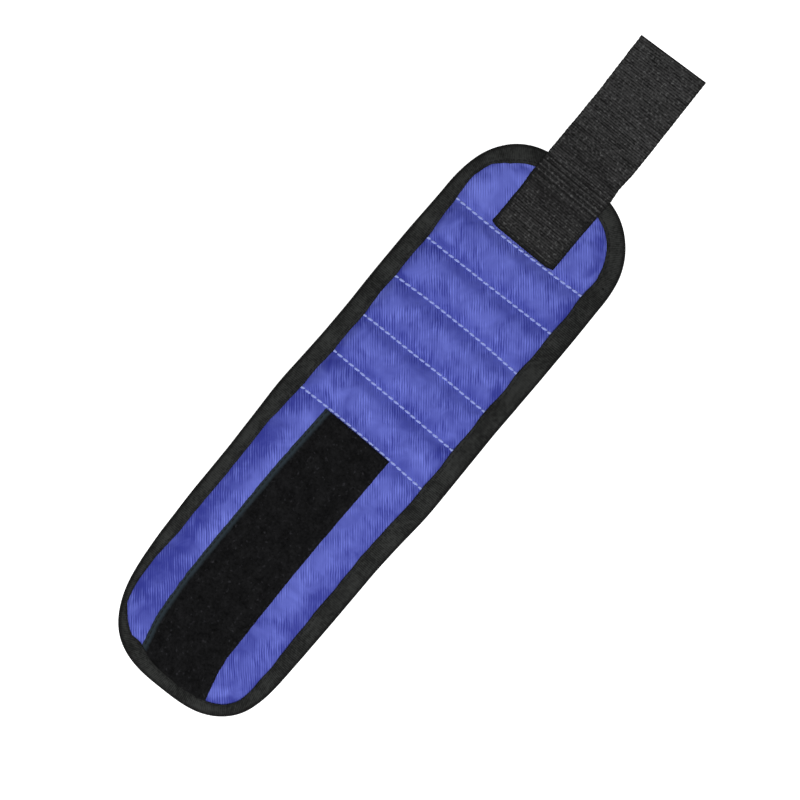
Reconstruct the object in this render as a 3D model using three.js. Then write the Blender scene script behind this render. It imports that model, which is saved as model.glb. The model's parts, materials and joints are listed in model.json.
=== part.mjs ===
// Magnetic wristband: a cloth band with a row of magnet pockets, a loop panel at one end and a hook strap at
// the other, lying flat with its skin side down. Millimetres, X along the band towards the strap's tip, Y
// across it and Z up, with the origin on the ground under the middle of the whole length. The band bends
// along its rows of stitches, so every layer is cut there into sections, which the sections' groups hold.
import * as THREE from "three";

// The band's outline
const BAND_WIDTH = 90;
const POCKET_COUNT = 5;
const POCKET_PITCH = 22.2; // from one row of stitches to the next
const LOOP_END_WIDTH = 87; // the band narrows to this beside the loop panel
const LOOP_END_TAPER = 46; // length of that narrowing, from the first row of stitches
const LOOP_END_STRAIGHT = 101.9; // first row of stitches to where the end starts to round
const LOOP_END_ROUND = 44;
const STRAP_END_STRAIGHT = 1.9; // last row of stitches to where the end starts to round
const STRAP_END_ROUND = 42;
const ROUND_POWER = 3; // squareness of the rounded ends across the band, where 2 is an ellipse
const ROUND_STEPS = 9;

// The layers, from the skin up
const LINING_THICKNESS = 2.2; // spacer mesh
const LINING_SEWN = 0.6; // the same, pressed flat under stitches
const BASE_THICKNESS = 0.5; // face cloth that the pockets and tapes are sewn to
const COVER_THICKNESS = 0.6; // face cloth over the pockets
const LAYER_GAP = 0.1;
const SEAM_LIFT = 0.4; // how far the stitches draw the lining up off the skin
const SEAM_GAP = 0.9; // between two sections, along a row of stitches
const SEAM_SLOPE = 5; // run over which an end section rises from its row of stitches

// The bound edge
const BINDING_WIDTH = 9;
const BINDING_THICKNESS = 0.8;
const BINDING_CLEARANCE = 0.15; // between the cloth's cut edge and the fold
const BINDING_SLOPE = 3; // run over which the lining comes down beside the binding
const FOLD_STEPS = 4;

// The magnets: a row of plates across each pocket
const MAGNET_NAMES = ["a", "b", "c"];
const MAGNET_WIDTH = 10; // along the band
const MAGNET_LENGTH = 18; // across it
const MAGNET_THICKNESS = 2;
const MAGNET_SPACE = 4; // between two plates
const MAGNET_CORNER = 1.5;
const MAGNET_EASE = 0.6; // how far the cover's flat crown runs past the plates
const CROWN_STEPS = 3;

// The loop panel
const TAPE_WIDTH = 38;
const TAPE_THICKNESS = 1.5;
const TAPE_OFFSET = 3; // the panel is sewn on a little to the left
const TAPE_ROWS = 6;
const SEWN_EDGE_GAP = 0.6; // from a row of stitches to the tape or strap beside it
const SIDE_CLEARANCE = 0.3; // from the binding's inner edge to the tape, or to where the lining rises

// The hook strap
const STRAP_WIDTH = 36.4;
const STRAP_THICKNESS = 0.8;
const STRAP_FREE_LENGTH = 67.2; // from the band's end to the tip
const STRAP_BEND = 2.4; // from the band's end to the line where the strap bends
const STRAP_CLIMB = 4; // run over which the sewn root climbs on to the binding
const STRAP_DROP = 26; // run over which the free tail comes down to the ground
const STRAP_STEPS = 8;
const HOOK_THICKNESS = 1.2;
const HOOK_START = 3; // from the bend line to the first hooks
const HOOK_MARGIN = 0.8; // bare selvedge at the strap's sides and tip

// Heights that follow from the layers
const foldUnder = BINDING_THICKNESS + LAYER_GAP;
const foldOver = foldUnder + LINING_SEWN + BASE_THICKNESS + COVER_THICKNESS + 3 * LAYER_GAP;
const bindingHeight = foldOver + BINDING_THICKNESS;
const foldRadius = bindingHeight / 2;
const clothInset = foldRadius + BINDING_CLEARANCE;
const baseTop = LINING_THICKNESS + LAYER_GAP + BASE_THICKNESS;
const crownBottom = baseTop + LAYER_GAP + MAGNET_THICKNESS + LAYER_GAP;

// Places along the band
const pocketRun = POCKET_COUNT * POCKET_PITCH;
const loopEndLength = LOOP_END_STRAIGHT + LOOP_END_ROUND;
const strapEndLength = STRAP_END_STRAIGHT + STRAP_END_ROUND;
const totalLength = loopEndLength + pocketRun + strapEndLength + STRAP_FREE_LENGTH;
const firstSeam = loopEndLength - totalLength / 2;
const lastSeam = firstSeam + pocketRun;
const bandEnd = lastSeam + strapEndLength;
const strapTip = bandEnd + STRAP_FREE_LENGTH;

const FINISHES = {
  faceCloth: { color: 0x5658b4, roughness: 0.85, metalness: 0 },
  lining: { color: 0x17171a, roughness: 0.95, metalness: 0 },
  binding: { color: 0x232323, roughness: 0.9, metalness: 0 },
  loopTape: { color: 0x0c0b0e, roughness: 1, metalness: 0 },
  strap: { color: 0x2d2e2c, roughness: 0.85, metalness: 0 },
  hooks: { color: 0x1b1b1b, roughness: 0.5, metalness: 0 },
  nickel: { color: 0xb9b6ae, roughness: 0.3, metalness: 1 },
};

const ease = (t) => (1 - Math.cos(Math.PI * Math.min(Math.max(t, 0), 1))) / 2;
const steps = (from, to, count) => Array.from({ length: count + 1 }, (_, i) => from + ((to - from) * i) / count);

function piece(name, finish, geometry) {
  const mesh = new THREE.Mesh(geometry, new THREE.MeshStandardMaterial(FINISHES[finish]));
  mesh.name = name;
  return mesh;
}

function section(...pieces) {
  const group = new THREE.Group();
  group.add(...pieces);
  return group;
}

// Triangles with shared corners, closed up wherever a face has shrunk to an edge or a point
class Faces {
  positions = [];
  triangles = [];
  corners = new Map();

  corner(point) {
    const key = point.map((value) => value.toFixed(4)).join();
    if (!this.corners.has(key)) {
      this.corners.set(key, this.positions.length / 3);
      this.positions.push(...point);
    }
    return this.corners.get(key);
  }

  triangle(...points) {
    const [a, b, c] = points.map((point) => this.corner(point));
    if (a !== b && b !== c && c !== a) this.triangles.push(a, b, c);
  }

  quad(a, b, c, d) {
    this.triangle(a, b, c);
    this.triangle(a, c, d);
  }

  geometry() {
    const geometry = new THREE.BufferGeometry();
    geometry.setAttribute("position", new THREE.Float32BufferAttribute(this.positions, 3));
    geometry.setIndex(this.triangles);
    geometry.computeVertexNormals();
    return geometry;
  }
}

// A layer as a closed body. The stations follow each other along +X, and each lists its points from -Y to +Y
// with both faces' heights. A station folded on itself is a tip, and has no wall.
function layer(stations) {
  const faces = new Faces();
  const low = (j, k) => [stations[j][k].x, stations[j][k].y, stations[j][k].low];
  const high = (j, k) => [stations[j][k].x, stations[j][k].y, stations[j][k].high];
  const lastStation = stations.length - 1;
  const lastPoint = stations[0].length - 1;
  for (let j = 0; j < lastStation; j += 1) {
    for (let k = 0; k < lastPoint; k += 1) {
      faces.quad(high(j, k), high(j + 1, k), high(j + 1, k + 1), high(j, k + 1));
      faces.quad(low(j, k), low(j, k + 1), low(j + 1, k + 1), low(j + 1, k));
    }
    faces.quad(low(j, 0), low(j + 1, 0), high(j + 1, 0), high(j, 0));
    faces.quad(low(j + 1, lastPoint), low(j, lastPoint), high(j, lastPoint), high(j + 1, lastPoint));
  }
  const isTip = (station) => Math.abs(station[0].y - station[lastPoint].y) < LAYER_GAP;
  for (let k = 0; k < lastPoint; k += 1) {
    if (!isTip(stations[0])) faces.quad(low(0, k + 1), low(0, k), high(0, k), high(0, k + 1));
    if (!isTip(stations[lastStation])) {
      const j = lastStation;
      faces.quad(low(j, k), low(j, k + 1), high(j, k + 1), high(j, k));
    }
  }
  return faces.geometry();
}

// The binding's section: depth in from the folded edge, and height
function bindingSection() {
  const arc = (radius, from, to) =>
    steps(from, to, FOLD_STEPS).map(
      (angle) => new THREE.Vector2(foldRadius - radius * Math.cos(angle), foldRadius + radius * Math.sin(angle)),
    );
  const quarter = Math.PI / 2;
  return [
    new THREE.Vector2(BINDING_WIDTH, 0),
    new THREE.Vector2(BINDING_WIDTH, BINDING_THICKNESS),
    ...arc(foldRadius - BINDING_THICKNESS, -quarter, quarter),
    new THREE.Vector2(BINDING_WIDTH, bindingHeight - BINDING_THICKNESS),
    new THREE.Vector2(BINDING_WIDTH, bindingHeight),
    ...arc(foldRadius, quarter, -quarter),
  ];
}

// Binding along an edge. Each station is a point of the folded edge with its outward direction, and the
// stations go round the band from the +Y side to the -Y side by way of +X.
function binding(stations) {
  const profile = bindingSection();
  const ring = (station) =>
    profile.map(({ x: depth, y: height }) => [
      station.x - station.nx * depth,
      station.y - station.ny * depth,
      height,
    ]);
  const rings = stations.map(ring);
  const faces = new Faces();
  for (let j = 0; j + 1 < rings.length; j += 1) {
    profile.forEach((_, k) => {
      const next = (k + 1) % profile.length;
      faces.quad(rings[j][k], rings[j + 1][k], rings[j + 1][next], rings[j][next]);
    });
  }
  for (const [a, b, c] of THREE.ShapeUtils.triangulateShape(profile, [])) {
    const [first, last] = [rings[0], rings[rings.length - 1]];
    faces.triangle(first[a], first[b], first[c]);
    faces.triangle(last[c], last[b], last[a]);
  }
  return faces.geometry();
}

// A side view (along the band, up) carried across the band
function acrossBand(points, width) {
  const shape = new THREE.Shape(points.map(([x, z]) => new THREE.Vector2(x, z)));
  const geometry = new THREE.ExtrudeGeometry(shape, { depth: width, bevelEnabled: false });
  return geometry.rotateX(Math.PI / 2).translate(0, width / 2, 0);
}

// Heights of one layer's face in the open, on a row of stitches and inside the binding
const blendHeights = (heights, onSeam, inBinding) =>
  (heights.open * (1 - onSeam) + heights.seam * onSeam) * (1 - inBinding) + heights.edge * inBinding;

// The faces of the layers where a pocket's cover is sewn on, and on the ends, where there is none
function layerFaces(covered) {
  const liningEdge = covered ? foldUnder + LINING_SEWN : foldOver - BASE_THICKNESS - 2 * LAYER_GAP;
  const raise = (heights, by) => ({ open: heights.open + by, seam: heights.seam + by, edge: heights.edge + by });
  const liningHigh = { open: LINING_THICKNESS, seam: SEAM_LIFT + LINING_SEWN, edge: liningEdge };
  const baseLow = raise(liningHigh, LAYER_GAP);
  const baseHigh = raise(baseLow, BASE_THICKNESS);
  const coverLow = { ...raise(baseHigh, LAYER_GAP), open: crownBottom };
  return {
    lining: { low: { open: 0, seam: SEAM_LIFT, edge: foldUnder }, high: liningHigh },
    base: { low: baseLow, high: baseHigh },
    cover: { low: coverLow, high: raise(coverLow, COVER_THICKNESS) },
  };
}

// Insets from the band's outline: the cut edge, the binding's inner edge and the end of the slope beside it
const slopeStart = BINDING_WIDTH + SIDE_CLEARANCE;

function insetRings(slopeEnd, slopeSteps) {
  const slope = steps(slopeStart, slopeEnd, slopeSteps);
  const rings = [{ inset: clothInset, inBinding: 1 }];
  slope.forEach((inset, i) => rings.push({ inset, inBinding: 1 - ease(i / slopeSteps) }));
  return rings;
}

// Pockets

const magnetRow = MAGNET_NAMES.length * (MAGNET_LENGTH + MAGNET_SPACE) - MAGNET_SPACE;
const crownInset = BAND_WIDTH / 2 - magnetRow / 2 - MAGNET_EASE;
const crownHalf = MAGNET_WIDTH / 2 + MAGNET_EASE;
const pocketHalf = (POCKET_PITCH - SEAM_GAP) / 2;

function pocketLayer(centre, faces) {
  const rings = insetRings(crownInset, CROWN_STEPS);
  const half = steps(pocketHalf, crownHalf, CROWN_STEPS).map((along, i) => ({
    along,
    onSeam: 1 - ease(i / CROWN_STEPS),
  }));
  const columns = [...half.map((c) => ({ ...c, along: -c.along })), ...half.toReversed()];
  const point = (column, ring, side) => ({
    x: centre + column.along,
    y: side * (BAND_WIDTH / 2 - ring.inset),
    low: blendHeights(faces.low, column.onSeam, ring.inBinding),
    high: blendHeights(faces.high, column.onSeam, ring.inBinding),
  });
  return layer(
    columns.map((column) => [
      ...rings.map((ring) => point(column, ring, -1)),
      ...rings.toReversed().map((ring) => point(column, ring, 1)),
    ]),
  );
}

function magnetPlate() {
  const [w, h, r] = [MAGNET_WIDTH / 2, MAGNET_LENGTH / 2, MAGNET_CORNER];
  const shape = new THREE.Shape();
  shape.absarc(w - r, h - r, r, 0, Math.PI / 2);
  shape.absarc(r - w, h - r, r, Math.PI / 2, Math.PI);
  shape.absarc(r - w, r - h, r, Math.PI, 1.5 * Math.PI);
  shape.absarc(w - r, r - h, r, 1.5 * Math.PI, 2 * Math.PI);
  return new THREE.ExtrudeGeometry(shape, { depth: MAGNET_THICKNESS, bevelEnabled: false, curveSegments: 2 });
}

function pocketBinding(centre, side) {
  const edge = { y: (side * BAND_WIDTH) / 2, nx: 0, ny: side };
  return binding([
    { ...edge, x: centre - side * pocketHalf },
    { ...edge, x: centre + side * pocketHalf },
  ]);
}

function pocket(number) {
  const name = `pocket_${number}`;
  const centre = firstSeam + (number - 0.5) * POCKET_PITCH;
  const faces = layerFaces(true);
  const magnets = MAGNET_NAMES.map((letter, i) => {
    const magnet = piece(`${name}_magnet_${letter}`, "nickel", magnetPlate());
    const across = ((MAGNET_NAMES.length - 1) / 2 - i) * (MAGNET_LENGTH + MAGNET_SPACE);
    magnet.position.set(centre, across, baseTop + LAYER_GAP);
    return magnet;
  });
  return section(
    piece(`${name}_cover`, "faceCloth", pocketLayer(centre, faces.cover)),
    piece(`${name}_base`, "faceCloth", pocketLayer(centre, faces.base)),
    piece(`${name}_lining`, "lining", pocketLayer(centre, faces.lining)),
    piece(`${name}_binding_left`, "binding", pocketBinding(centre, 1)),
    piece(`${name}_binding_right`, "binding", pocketBinding(centre, -1)),
    ...magnets,
  );
}

// The band's two ends. "along" is the distance from the end's row of stitches, and "way" its direction on X.

const LOOP_END = {
  seam: firstSeam,
  way: -1,
  straight: LOOP_END_STRAIGHT,
  round: LOOP_END_ROUND,
  width: LOOP_END_WIDTH,
  runs: [SEAM_SLOPE, ...steps(0, LOOP_END_TAPER, 4).slice(1), LOOP_END_STRAIGHT],
};
const STRAP_END = {
  seam: lastSeam,
  way: 1,
  straight: STRAP_END_STRAIGHT,
  round: STRAP_END_ROUND,
  width: BAND_WIDTH,
  runs: [STRAP_END_STRAIGHT],
};

// Half the band's width on an end's straight run, and its slope
function straightEdge(end, along) {
  const t = Math.min(along / LOOP_END_TAPER, 1);
  const narrowing = (BAND_WIDTH - end.width) / 2;
  return {
    half: BAND_WIDTH / 2 - narrowing * ease(t),
    slope: (-narrowing * Math.PI * Math.sin(Math.PI * t)) / (2 * LOOP_END_TAPER),
  };
}

// A point of the rounded cap, at an angle from where the straight run ends
const capPoint = (end, angle, inset) => ({
  along: end.straight + (end.round - inset) * Math.sin(angle),
  half: (end.width / 2 - inset) * Math.max(Math.cos(angle), 0) ** (2 / ROUND_POWER),
});

const capAngles = steps(0, Math.PI / 2, ROUND_STEPS).slice(1);

function endLayer(end, faces) {
  const rings = insetRings(BINDING_WIDTH + SIDE_CLEARANCE + BINDING_SLOPE, 1);
  const at = ({ along, half }, ring, side) => {
    const onSeam = 1 - ease((along - SEAM_GAP / 2) / SEAM_SLOPE);
    return {
      x: end.seam + end.way * along,
      y: side * half,
      low: blendHeights(faces.low, onSeam, ring.inBinding),
      high: blendHeights(faces.high, onSeam, ring.inBinding),
    };
  };
  const across = (place) => [
    ...rings.map((ring) => at(place(ring.inset), ring, -1)),
    ...rings.toReversed().map((ring) => at(place(ring.inset), ring, 1)),
  ];
  const straight = [SEAM_GAP / 2, ...end.runs].map((along) =>
    across((inset) => ({ along, half: straightEdge(end, along).half - inset })),
  );
  const cap = capAngles.map((angle) => across((inset) => capPoint(end, angle, inset)));
  const stations = [...straight, ...cap];
  return layer(end.way > 0 ? stations : stations.toReversed());
}

function endBinding(end) {
  const straight = [SEAM_GAP / 2, ...end.runs].map((along) => {
    const { half, slope } = straightEdge(end, along);
    return { along, half, normal: new THREE.Vector2(-slope, 1).normalize() };
  });
  const cap = capAngles.map((angle) => {
    const { along, half } = capPoint(end, angle, 0);
    const [a, b] = [end.round, end.width / 2];
    const steep = (ROUND_POWER * (half / b) ** (ROUND_POWER - 1)) / b;
    const normal = new THREE.Vector2((2 * (along - end.straight)) / a ** 2, steep).normalize();
    return { along, half, normal };
  });
  const oneSide = [...straight, ...cap];
  const station = (side) => ({ along, half, normal }) => ({
    x: end.seam + end.way * along,
    y: side * half,
    nx: end.way * normal.x,
    ny: side * normal.y,
  });
  const tip = oneSide.length - 1;
  const back = oneSide.slice(0, tip).toReversed();
  return binding([...oneSide.map(station(end.way)), ...back.map(station(-end.way))]);
}

// The loop panel follows the binding's inner edge round the end
function loopTape() {
  const low = baseTop + LAYER_GAP;
  const high = low + TAPE_THICKNESS;
  const rows = steps(TAPE_OFFSET - TAPE_WIDTH / 2, TAPE_OFFSET + TAPE_WIDTH / 2, TAPE_ROWS);
  const inner = LOOP_END_WIDTH / 2 - slopeStart;
  const endAt = (y) => (1 - (Math.abs(y) / inner) ** ROUND_POWER) ** 0.5 * (LOOP_END_ROUND - slopeStart);
  const station = (place) => rows.map((y) => ({ x: firstSeam - place(y), y, low, high }));
  return layer([station((y) => LOOP_END_STRAIGHT + endAt(y)), station(() => SEWN_EDGE_GAP)]);
}

function loopEnd() {
  const faces = layerFaces(false);
  return section(
    piece("loop_end_base", "faceCloth", endLayer(LOOP_END, faces.base)),
    piece("loop_end_lining", "lining", endLayer(LOOP_END, faces.lining)),
    piece("loop_end_binding", "binding", endBinding(LOOP_END)),
    piece("loop_tape", "loopTape", loopTape()),
  );
}

// The strap's root is sewn down on the end's face cloth and climbs over the binding
const rootHigh = bindingHeight + LAYER_GAP;
const bendLine = bandEnd + STRAP_BEND;

function strapRoot() {
  const low = baseTop + LAYER_GAP;
  const inner = BAND_WIDTH / 2 - slopeStart;
  const innerEdge = (1 - (STRAP_WIDTH / 2 / inner) ** ROUND_POWER) ** 0.5 * (STRAP_END_ROUND - slopeStart);
  const climbEnd = lastSeam + STRAP_END_STRAIGHT + innerEdge;
  const climb = steps(0, 1, CROWN_STEPS).map((t) => [
    climbEnd - STRAP_CLIMB * (1 - t),
    low + (rootHigh - low) * ease(t),
  ]);
  const under = [[lastSeam + SEWN_EDGE_GAP, low], ...climb, [bendLine - SEAM_GAP / 2, rootHigh]];
  const over = under.toReversed().map(([x, z]) => [x, z + STRAP_THICKNESS]);
  return acrossBand([...under, ...over], STRAP_WIDTH);
}

function strapEnd() {
  const faces = layerFaces(false);
  return section(
    piece("strap_end_base", "faceCloth", endLayer(STRAP_END, faces.base)),
    piece("strap_end_lining", "lining", endLayer(STRAP_END, faces.lining)),
    piece("strap_end_binding", "binding", endBinding(STRAP_END)),
    piece("strap_root", "strap", strapRoot()),
  );
}

// The free tail comes down in a soft curve and lies on its hooks
const tailLow = HOOK_THICKNESS + LAYER_GAP;
const tailUnder = (x) => rootHigh + (tailLow - rootHigh) * ease((x - bendLine) / STRAP_DROP);

function tailCurve(from, to, depth) {
  const places = steps(from, bendLine + STRAP_DROP, STRAP_STEPS).concat(to);
  return places.map((x) => [x, tailUnder(x) - depth]);
}

function strapTail() {
  const under = tailCurve(bendLine + SEAM_GAP / 2, strapTip, 0);
  const over = under.toReversed().map(([x, z]) => [x, z + STRAP_THICKNESS]);
  return acrossBand([...under, ...over], STRAP_WIDTH);
}

function strapHooks() {
  const under = tailCurve(bendLine + HOOK_START, strapTip - HOOK_MARGIN, tailLow);
  const over = under.toReversed().map(([x, z]) => [x, z + HOOK_THICKNESS]);
  return acrossBand([...under, ...over], STRAP_WIDTH - 2 * HOOK_MARGIN);
}

const strap = section(piece("strap_tail", "strap", strapTail()), piece("strap_hooks", "hooks", strapHooks()));
const pockets = Array.from({ length: POCKET_COUNT }, (_, i) => pocket(i + 1));

const wristband = new THREE.Group();
wristband.name = "magnetic_wristband";
wristband.add(loopEnd(), ...pockets, strapEnd(), strap);

export default wristband;
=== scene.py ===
"""Magnetic wristband: a blue cloth band with five magnet pockets, a loop panel and a hook strap.

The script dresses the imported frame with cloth, tape, thread and nap. The sidebar panel lists its steps.
X runs along the band from the loop end to the strap's tip, Y to the left edge and Z up from the skin side.
"""

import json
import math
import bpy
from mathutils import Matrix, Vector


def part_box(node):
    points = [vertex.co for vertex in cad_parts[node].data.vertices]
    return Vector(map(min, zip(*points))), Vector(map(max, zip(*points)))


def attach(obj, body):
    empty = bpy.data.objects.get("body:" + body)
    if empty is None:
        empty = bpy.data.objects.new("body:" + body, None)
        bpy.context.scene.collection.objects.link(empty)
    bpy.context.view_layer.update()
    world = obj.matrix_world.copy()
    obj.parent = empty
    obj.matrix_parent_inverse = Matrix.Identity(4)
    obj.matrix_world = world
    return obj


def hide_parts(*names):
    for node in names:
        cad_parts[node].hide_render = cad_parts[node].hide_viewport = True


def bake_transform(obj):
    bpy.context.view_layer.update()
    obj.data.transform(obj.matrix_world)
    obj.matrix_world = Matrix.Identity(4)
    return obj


bl_info = {
    "name": "Magnetic Wristband",
    "version": (1, 0, 0),
    "blender": (4, 5, 0),
    "location": "View3D > Sidebar > Wristband",
    "description": "Dresses a magnetic wristband's packed frame with sewn cloth, tape and thread",
    "category": "Add Mesh",
}

from collections import namedtuple

import bmesh
import bpy
import numpy as np
from mathutils import Vector, noise

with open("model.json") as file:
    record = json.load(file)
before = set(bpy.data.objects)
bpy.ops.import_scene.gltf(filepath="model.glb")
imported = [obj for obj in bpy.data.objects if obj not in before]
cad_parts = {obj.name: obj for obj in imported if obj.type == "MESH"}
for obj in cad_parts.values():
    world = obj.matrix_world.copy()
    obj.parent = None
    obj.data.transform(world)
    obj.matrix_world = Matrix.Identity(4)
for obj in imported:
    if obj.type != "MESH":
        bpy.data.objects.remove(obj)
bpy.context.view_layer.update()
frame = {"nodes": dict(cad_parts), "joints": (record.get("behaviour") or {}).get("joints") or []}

# Lengths inside the script are in millimetres and turn to metres when a mesh is made.
MM = 0.001

# A patch is a sheet of quads: points, their places on the cloth laid flat, how pale each is painted by its
# tone and painted shade, and a back.
Patch = namedtuple("Patch", "points quads lay wear back", defaults=(None, None))
LAY_MAP = "Lay"
TONE_AND_SHADE = "Wear"
SHARP_FOLD = math.radians(65)
JOIN_GAP = 0.001

# The frame's joints and boxes give the seams, the layers' heights and the band's reach.
JOINTS = {joint["name"]: joint for joint in frame["joints"]}
SEAM_COUNT = 6
SEAM_X = [JOINTS[f"seam_{number}"]["pos_m"][0] / MM for number in range(1, SEAM_COUNT + 1)]
BEND_X, _, BEND_Z = (place / MM for place in JOINTS["strap_bend"]["pos_m"])
POCKET_X = [(left + right) / 2 for left, right in zip(SEAM_X, SEAM_X[1:])]
POCKET_HALF = (SEAM_X[1] - SEAM_X[0]) / 2
BODIES = ["loop_end", *[f"pocket_{number}" for number in range(1, SEAM_COUNT)], "strap_end"]
MAGNETS = [name for name in frame["nodes"] if "_magnet_" in name]
LOOP_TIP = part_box("loop_end_binding")[0].x / MM
BAND_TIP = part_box("strap_end_binding")[1].x / MM
BAND_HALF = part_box("pocket_3_binding_left")[1].y / MM
BINDING_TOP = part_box("pocket_3_binding_left")[1].z / MM
BASE_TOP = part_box("loop_end_base")[1].z / MM
LINING_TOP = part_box("pocket_3_lining")[1].z / MM
TAPE_LOW, TAPE_HIGH = (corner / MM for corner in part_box("loop_tape"))
STRAP_ROOT_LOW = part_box("strap_root")[0] / MM
STRAP_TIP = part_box("strap_tail")[1].x / MM
STRAP_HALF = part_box("strap_tail")[1].y / MM
STRAP_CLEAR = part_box("strap_tail")[0].z / MM
HOOK_LOW, HOOK_HIGH = (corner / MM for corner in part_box("strap_hooks"))

# The outline: straight edges, a slight taper towards the loop end, and two full-bodied round ends
LOOP_HALF = 43.5
LOOP_TAPER = 46.0
LOOP_ROUND = 44.0
STRAP_ROUND = 42.0
ROUND_POWER = 3
RoundEnd = namedtuple("RoundEnd", "centre length half way")
LOOP_END = RoundEnd(LOOP_TIP + LOOP_ROUND, LOOP_ROUND, LOOP_HALF, -1)
STRAP_END = RoundEnd(BAND_TIP - STRAP_ROUND, STRAP_ROUND, BAND_HALF, 1)
LEAST_LENGTH = 0.01
MOST_DEPTH = LOOP_HALF - 0.1
DEPTH_HALVINGS = 16

# The band's layers are cut into stretches: two ends that ride, and six that each take in a seam.
LOOP_CUT = SEAM_X[0] - 11.1
STRAP_CUT = SEAM_X[-1] + 9.0
CUTS = [LOOP_CUT, *POCKET_X, STRAP_CUT]
STRETCHES = ["loop_end", *[f"seam_{number}" for number in range(1, SEAM_COUNT + 1)], "strap_end"]

# Unevenness, as waves of noise: their height, their width and a seed
WAVES = {
    "cloth": [(0.18, 8.0, 1)],
    "lining": [(0.1, 11.0, 2)],
    "binding width": [(0.3, 12.0, 3), (0.18, 4.0, 4)],
    "binding top": [(0.12, 9.0, 5)],
    "binding edge": [(0.16, 16.0, 6)],
    "seam": [(0.2, 15.0, 7)],
    "nap": [(0.13, 2.2, 8), (0.1, 7.0, 9)],
    "tape edge": [(0.2, 2.6, 10), (0.14, 6.0, 17)],
    "strap left": [(0.15, 5.0, 12)],
    "strap right": [(0.1, 9.0, 13)],
    "strap top": [(0.08, 6.0, 14)],
    "strap tone": [(0.14, 7.0, 16)],
    "shade patches": [(0.7, 17.0, 21)],
    "creases": [(1.0, 11.0, 23)],
}
SEED_SHIFT = (17.3, 5.9, 2.1)

# Face cloth: its grid, where it is sewn down, and its heights before it settles
CLOTH_STEP = 1.1
CLOTH_ROWS = 75
CLOTH_INSET = 2.0
CLOTH_END_HALF = 22.0
CLOTH_WALL = 0.2
SEWN_LINE = 0.01
SEWN_MARGIN = 1.0
BINDING_GAP = 0.2
SEAM_TOP = 2.3
SEAM_RISE = 4.0
POCKET_RISE = 2.5
EDGE_ROOM = 7.0
STRIP_RISE = 0.5
STRIP_ROOM = 5.0
STRIP_FADE = 6.0

# The cloth settles at 20 times its size, because the solver's own limits are coarse against thin cloth.
SIM_SCALE = 0.02
SIM_FRAMES = 20
MAX_SETTLE = 4.0
CLOTH_SETTINGS = {
    "quality": 5,
    "mass": 0.15,
    "tension_stiffness": 15,
    "compression_stiffness": 15,
    "shear_stiffness": 5,
    "bending_stiffness": 0.5,
    "use_pressure": True,
}

# The cloth keeps clear of the magnets, and falls off beside them in a soft curve.
MAGNET_CLEARANCE = 0.35
MAGNET_ROUNDING = 1.0
MAGNET_FALL = 0.12
MAGNET_SOFTNESS = 0.25

# Painted shade on the face cloth. It darkens by a share after and before a seam, from a start over a run.
AFTER_SEAM = (0.38, 1.5, 5.5)
BEFORE_SEAM = (0.28, 4.0, 4.5)
# Starts and runs of its painted shade beside the binding, of a crease's depth, and of how far the painted
# shade of creases reaches
BINDING_SHADE = (-2.4, 4.2)
CREASE_DEPTH = (0.05, 0.4)
CREASE_REACH = (1.5, 8.0)
CREASE_SHADE = 0.85
# Painted light and shade on the strips beside the loop panel, the left strip darker as if lit from the right:
# their tone at the binding, how that falls towards the tip, how it rises away from the binding, how that
# falls towards the tip, and where the rise starts
STRIP_LEFT = (0.46, 0.28, 0.75, 0.6, 4.0)
STRIP_RIGHT = (0.62, 0.12, 0.45, 0.18, 2.0)
STRIP_RUN = 9.0
STRIP_FALL = (112.0, 30.0)
TIP_REACH = (156.0, 12.0)
TIP_SHARE = 0.8
TIP_TONE = 1.05
STRAP_END_LEFT = 1.3
STRAP_END_RIGHT = 1.15

# Lining
LINING_STEP = 1.4
LINING_ROWS = 57
PINCH = 0.45
PINCH_REACH = 4.5
TUCK = 0.9
TUCK_RUN = 3.5

# Binding: visible width of its upper leg on the left and the right edge, as x along the band and width there
WIDTH_LEFT = (
    (-184, 6.2), (-182.5, 7.5), (-180.6, 7.6), (-178, 5.2), (-165, 2.9), (-140, 5.4), (-125, 6.9),
    (-62, 7.2), (-42, 8.9), (55, 8.8), (88, 6.1), (98, 6.3), (106, 8.3),
)
WIDTH_RIGHT = (
    (-184, 6.2), (-182.5, 6.6), (-180, 5.8), (-175.5, 5.2), (-171, 5.4), (-155, 7.6), (-125, 9.0),
    (-40, 9.9), (76, 9.9), (86, 8.8), (106, 8.3),
)
BINDING_STEP = 1.2
ROUND_SAMPLES = 900
FOLD_RADIUS = 1.85
FOLD_INSET = FOLD_RADIUS + 0.1
FOLD_POINTS = 9
FOLD_BULGE = 1.05
FOLD_WALL = 0.9
BINDING_INNER = 0.85
INNER_SLOPE = 0.1
INNER_SHARE = 0.25
LOWER_LEG = 8.6
STITCH_SHARE = 0.8
LOWER_STITCH_SHARE = 0.84
# Its section: shares of the upper leg and heights against the top, then shares of the lower leg and heights
UPPER_SECTION = (
    (1.0, -0.72), (1.01, -0.36), (0.98, -0.1), (0.91, 0.0), (STITCH_SHARE, -0.16),
    (0.66, 0.02), (0.46, 0.14), (0.25, 0.15),
)
LOWER_SECTION = (
    (0.42, 0.0), (0.58, 0.0), (0.74, 0.02), (LOWER_STITCH_SHARE, 0.16), (0.93, 0.0), (0.985, 0.1),
    (1.0, 0.5), (0.98, BINDING_INNER), (0.4, BINDING_INNER),
)
SCALLOP = 0.2
UPPER_DEPTH = 0.5
# Painted shade on the binding: its start and run towards the outer fold, its tone and run beside the lip, and
# its tone on the lower half, so that the top looks lit
RIM_SHADE = (0.2, 2.2)
LIP_SHADE_TONE = 0.7
LIP_SHADE = 1.2
LOWER_HALF_SHADE = 0.4
STITCH_SINK = 0.08
LOWER_STITCH_Z = 0.1
LEAST_STITCHED = 3

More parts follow.
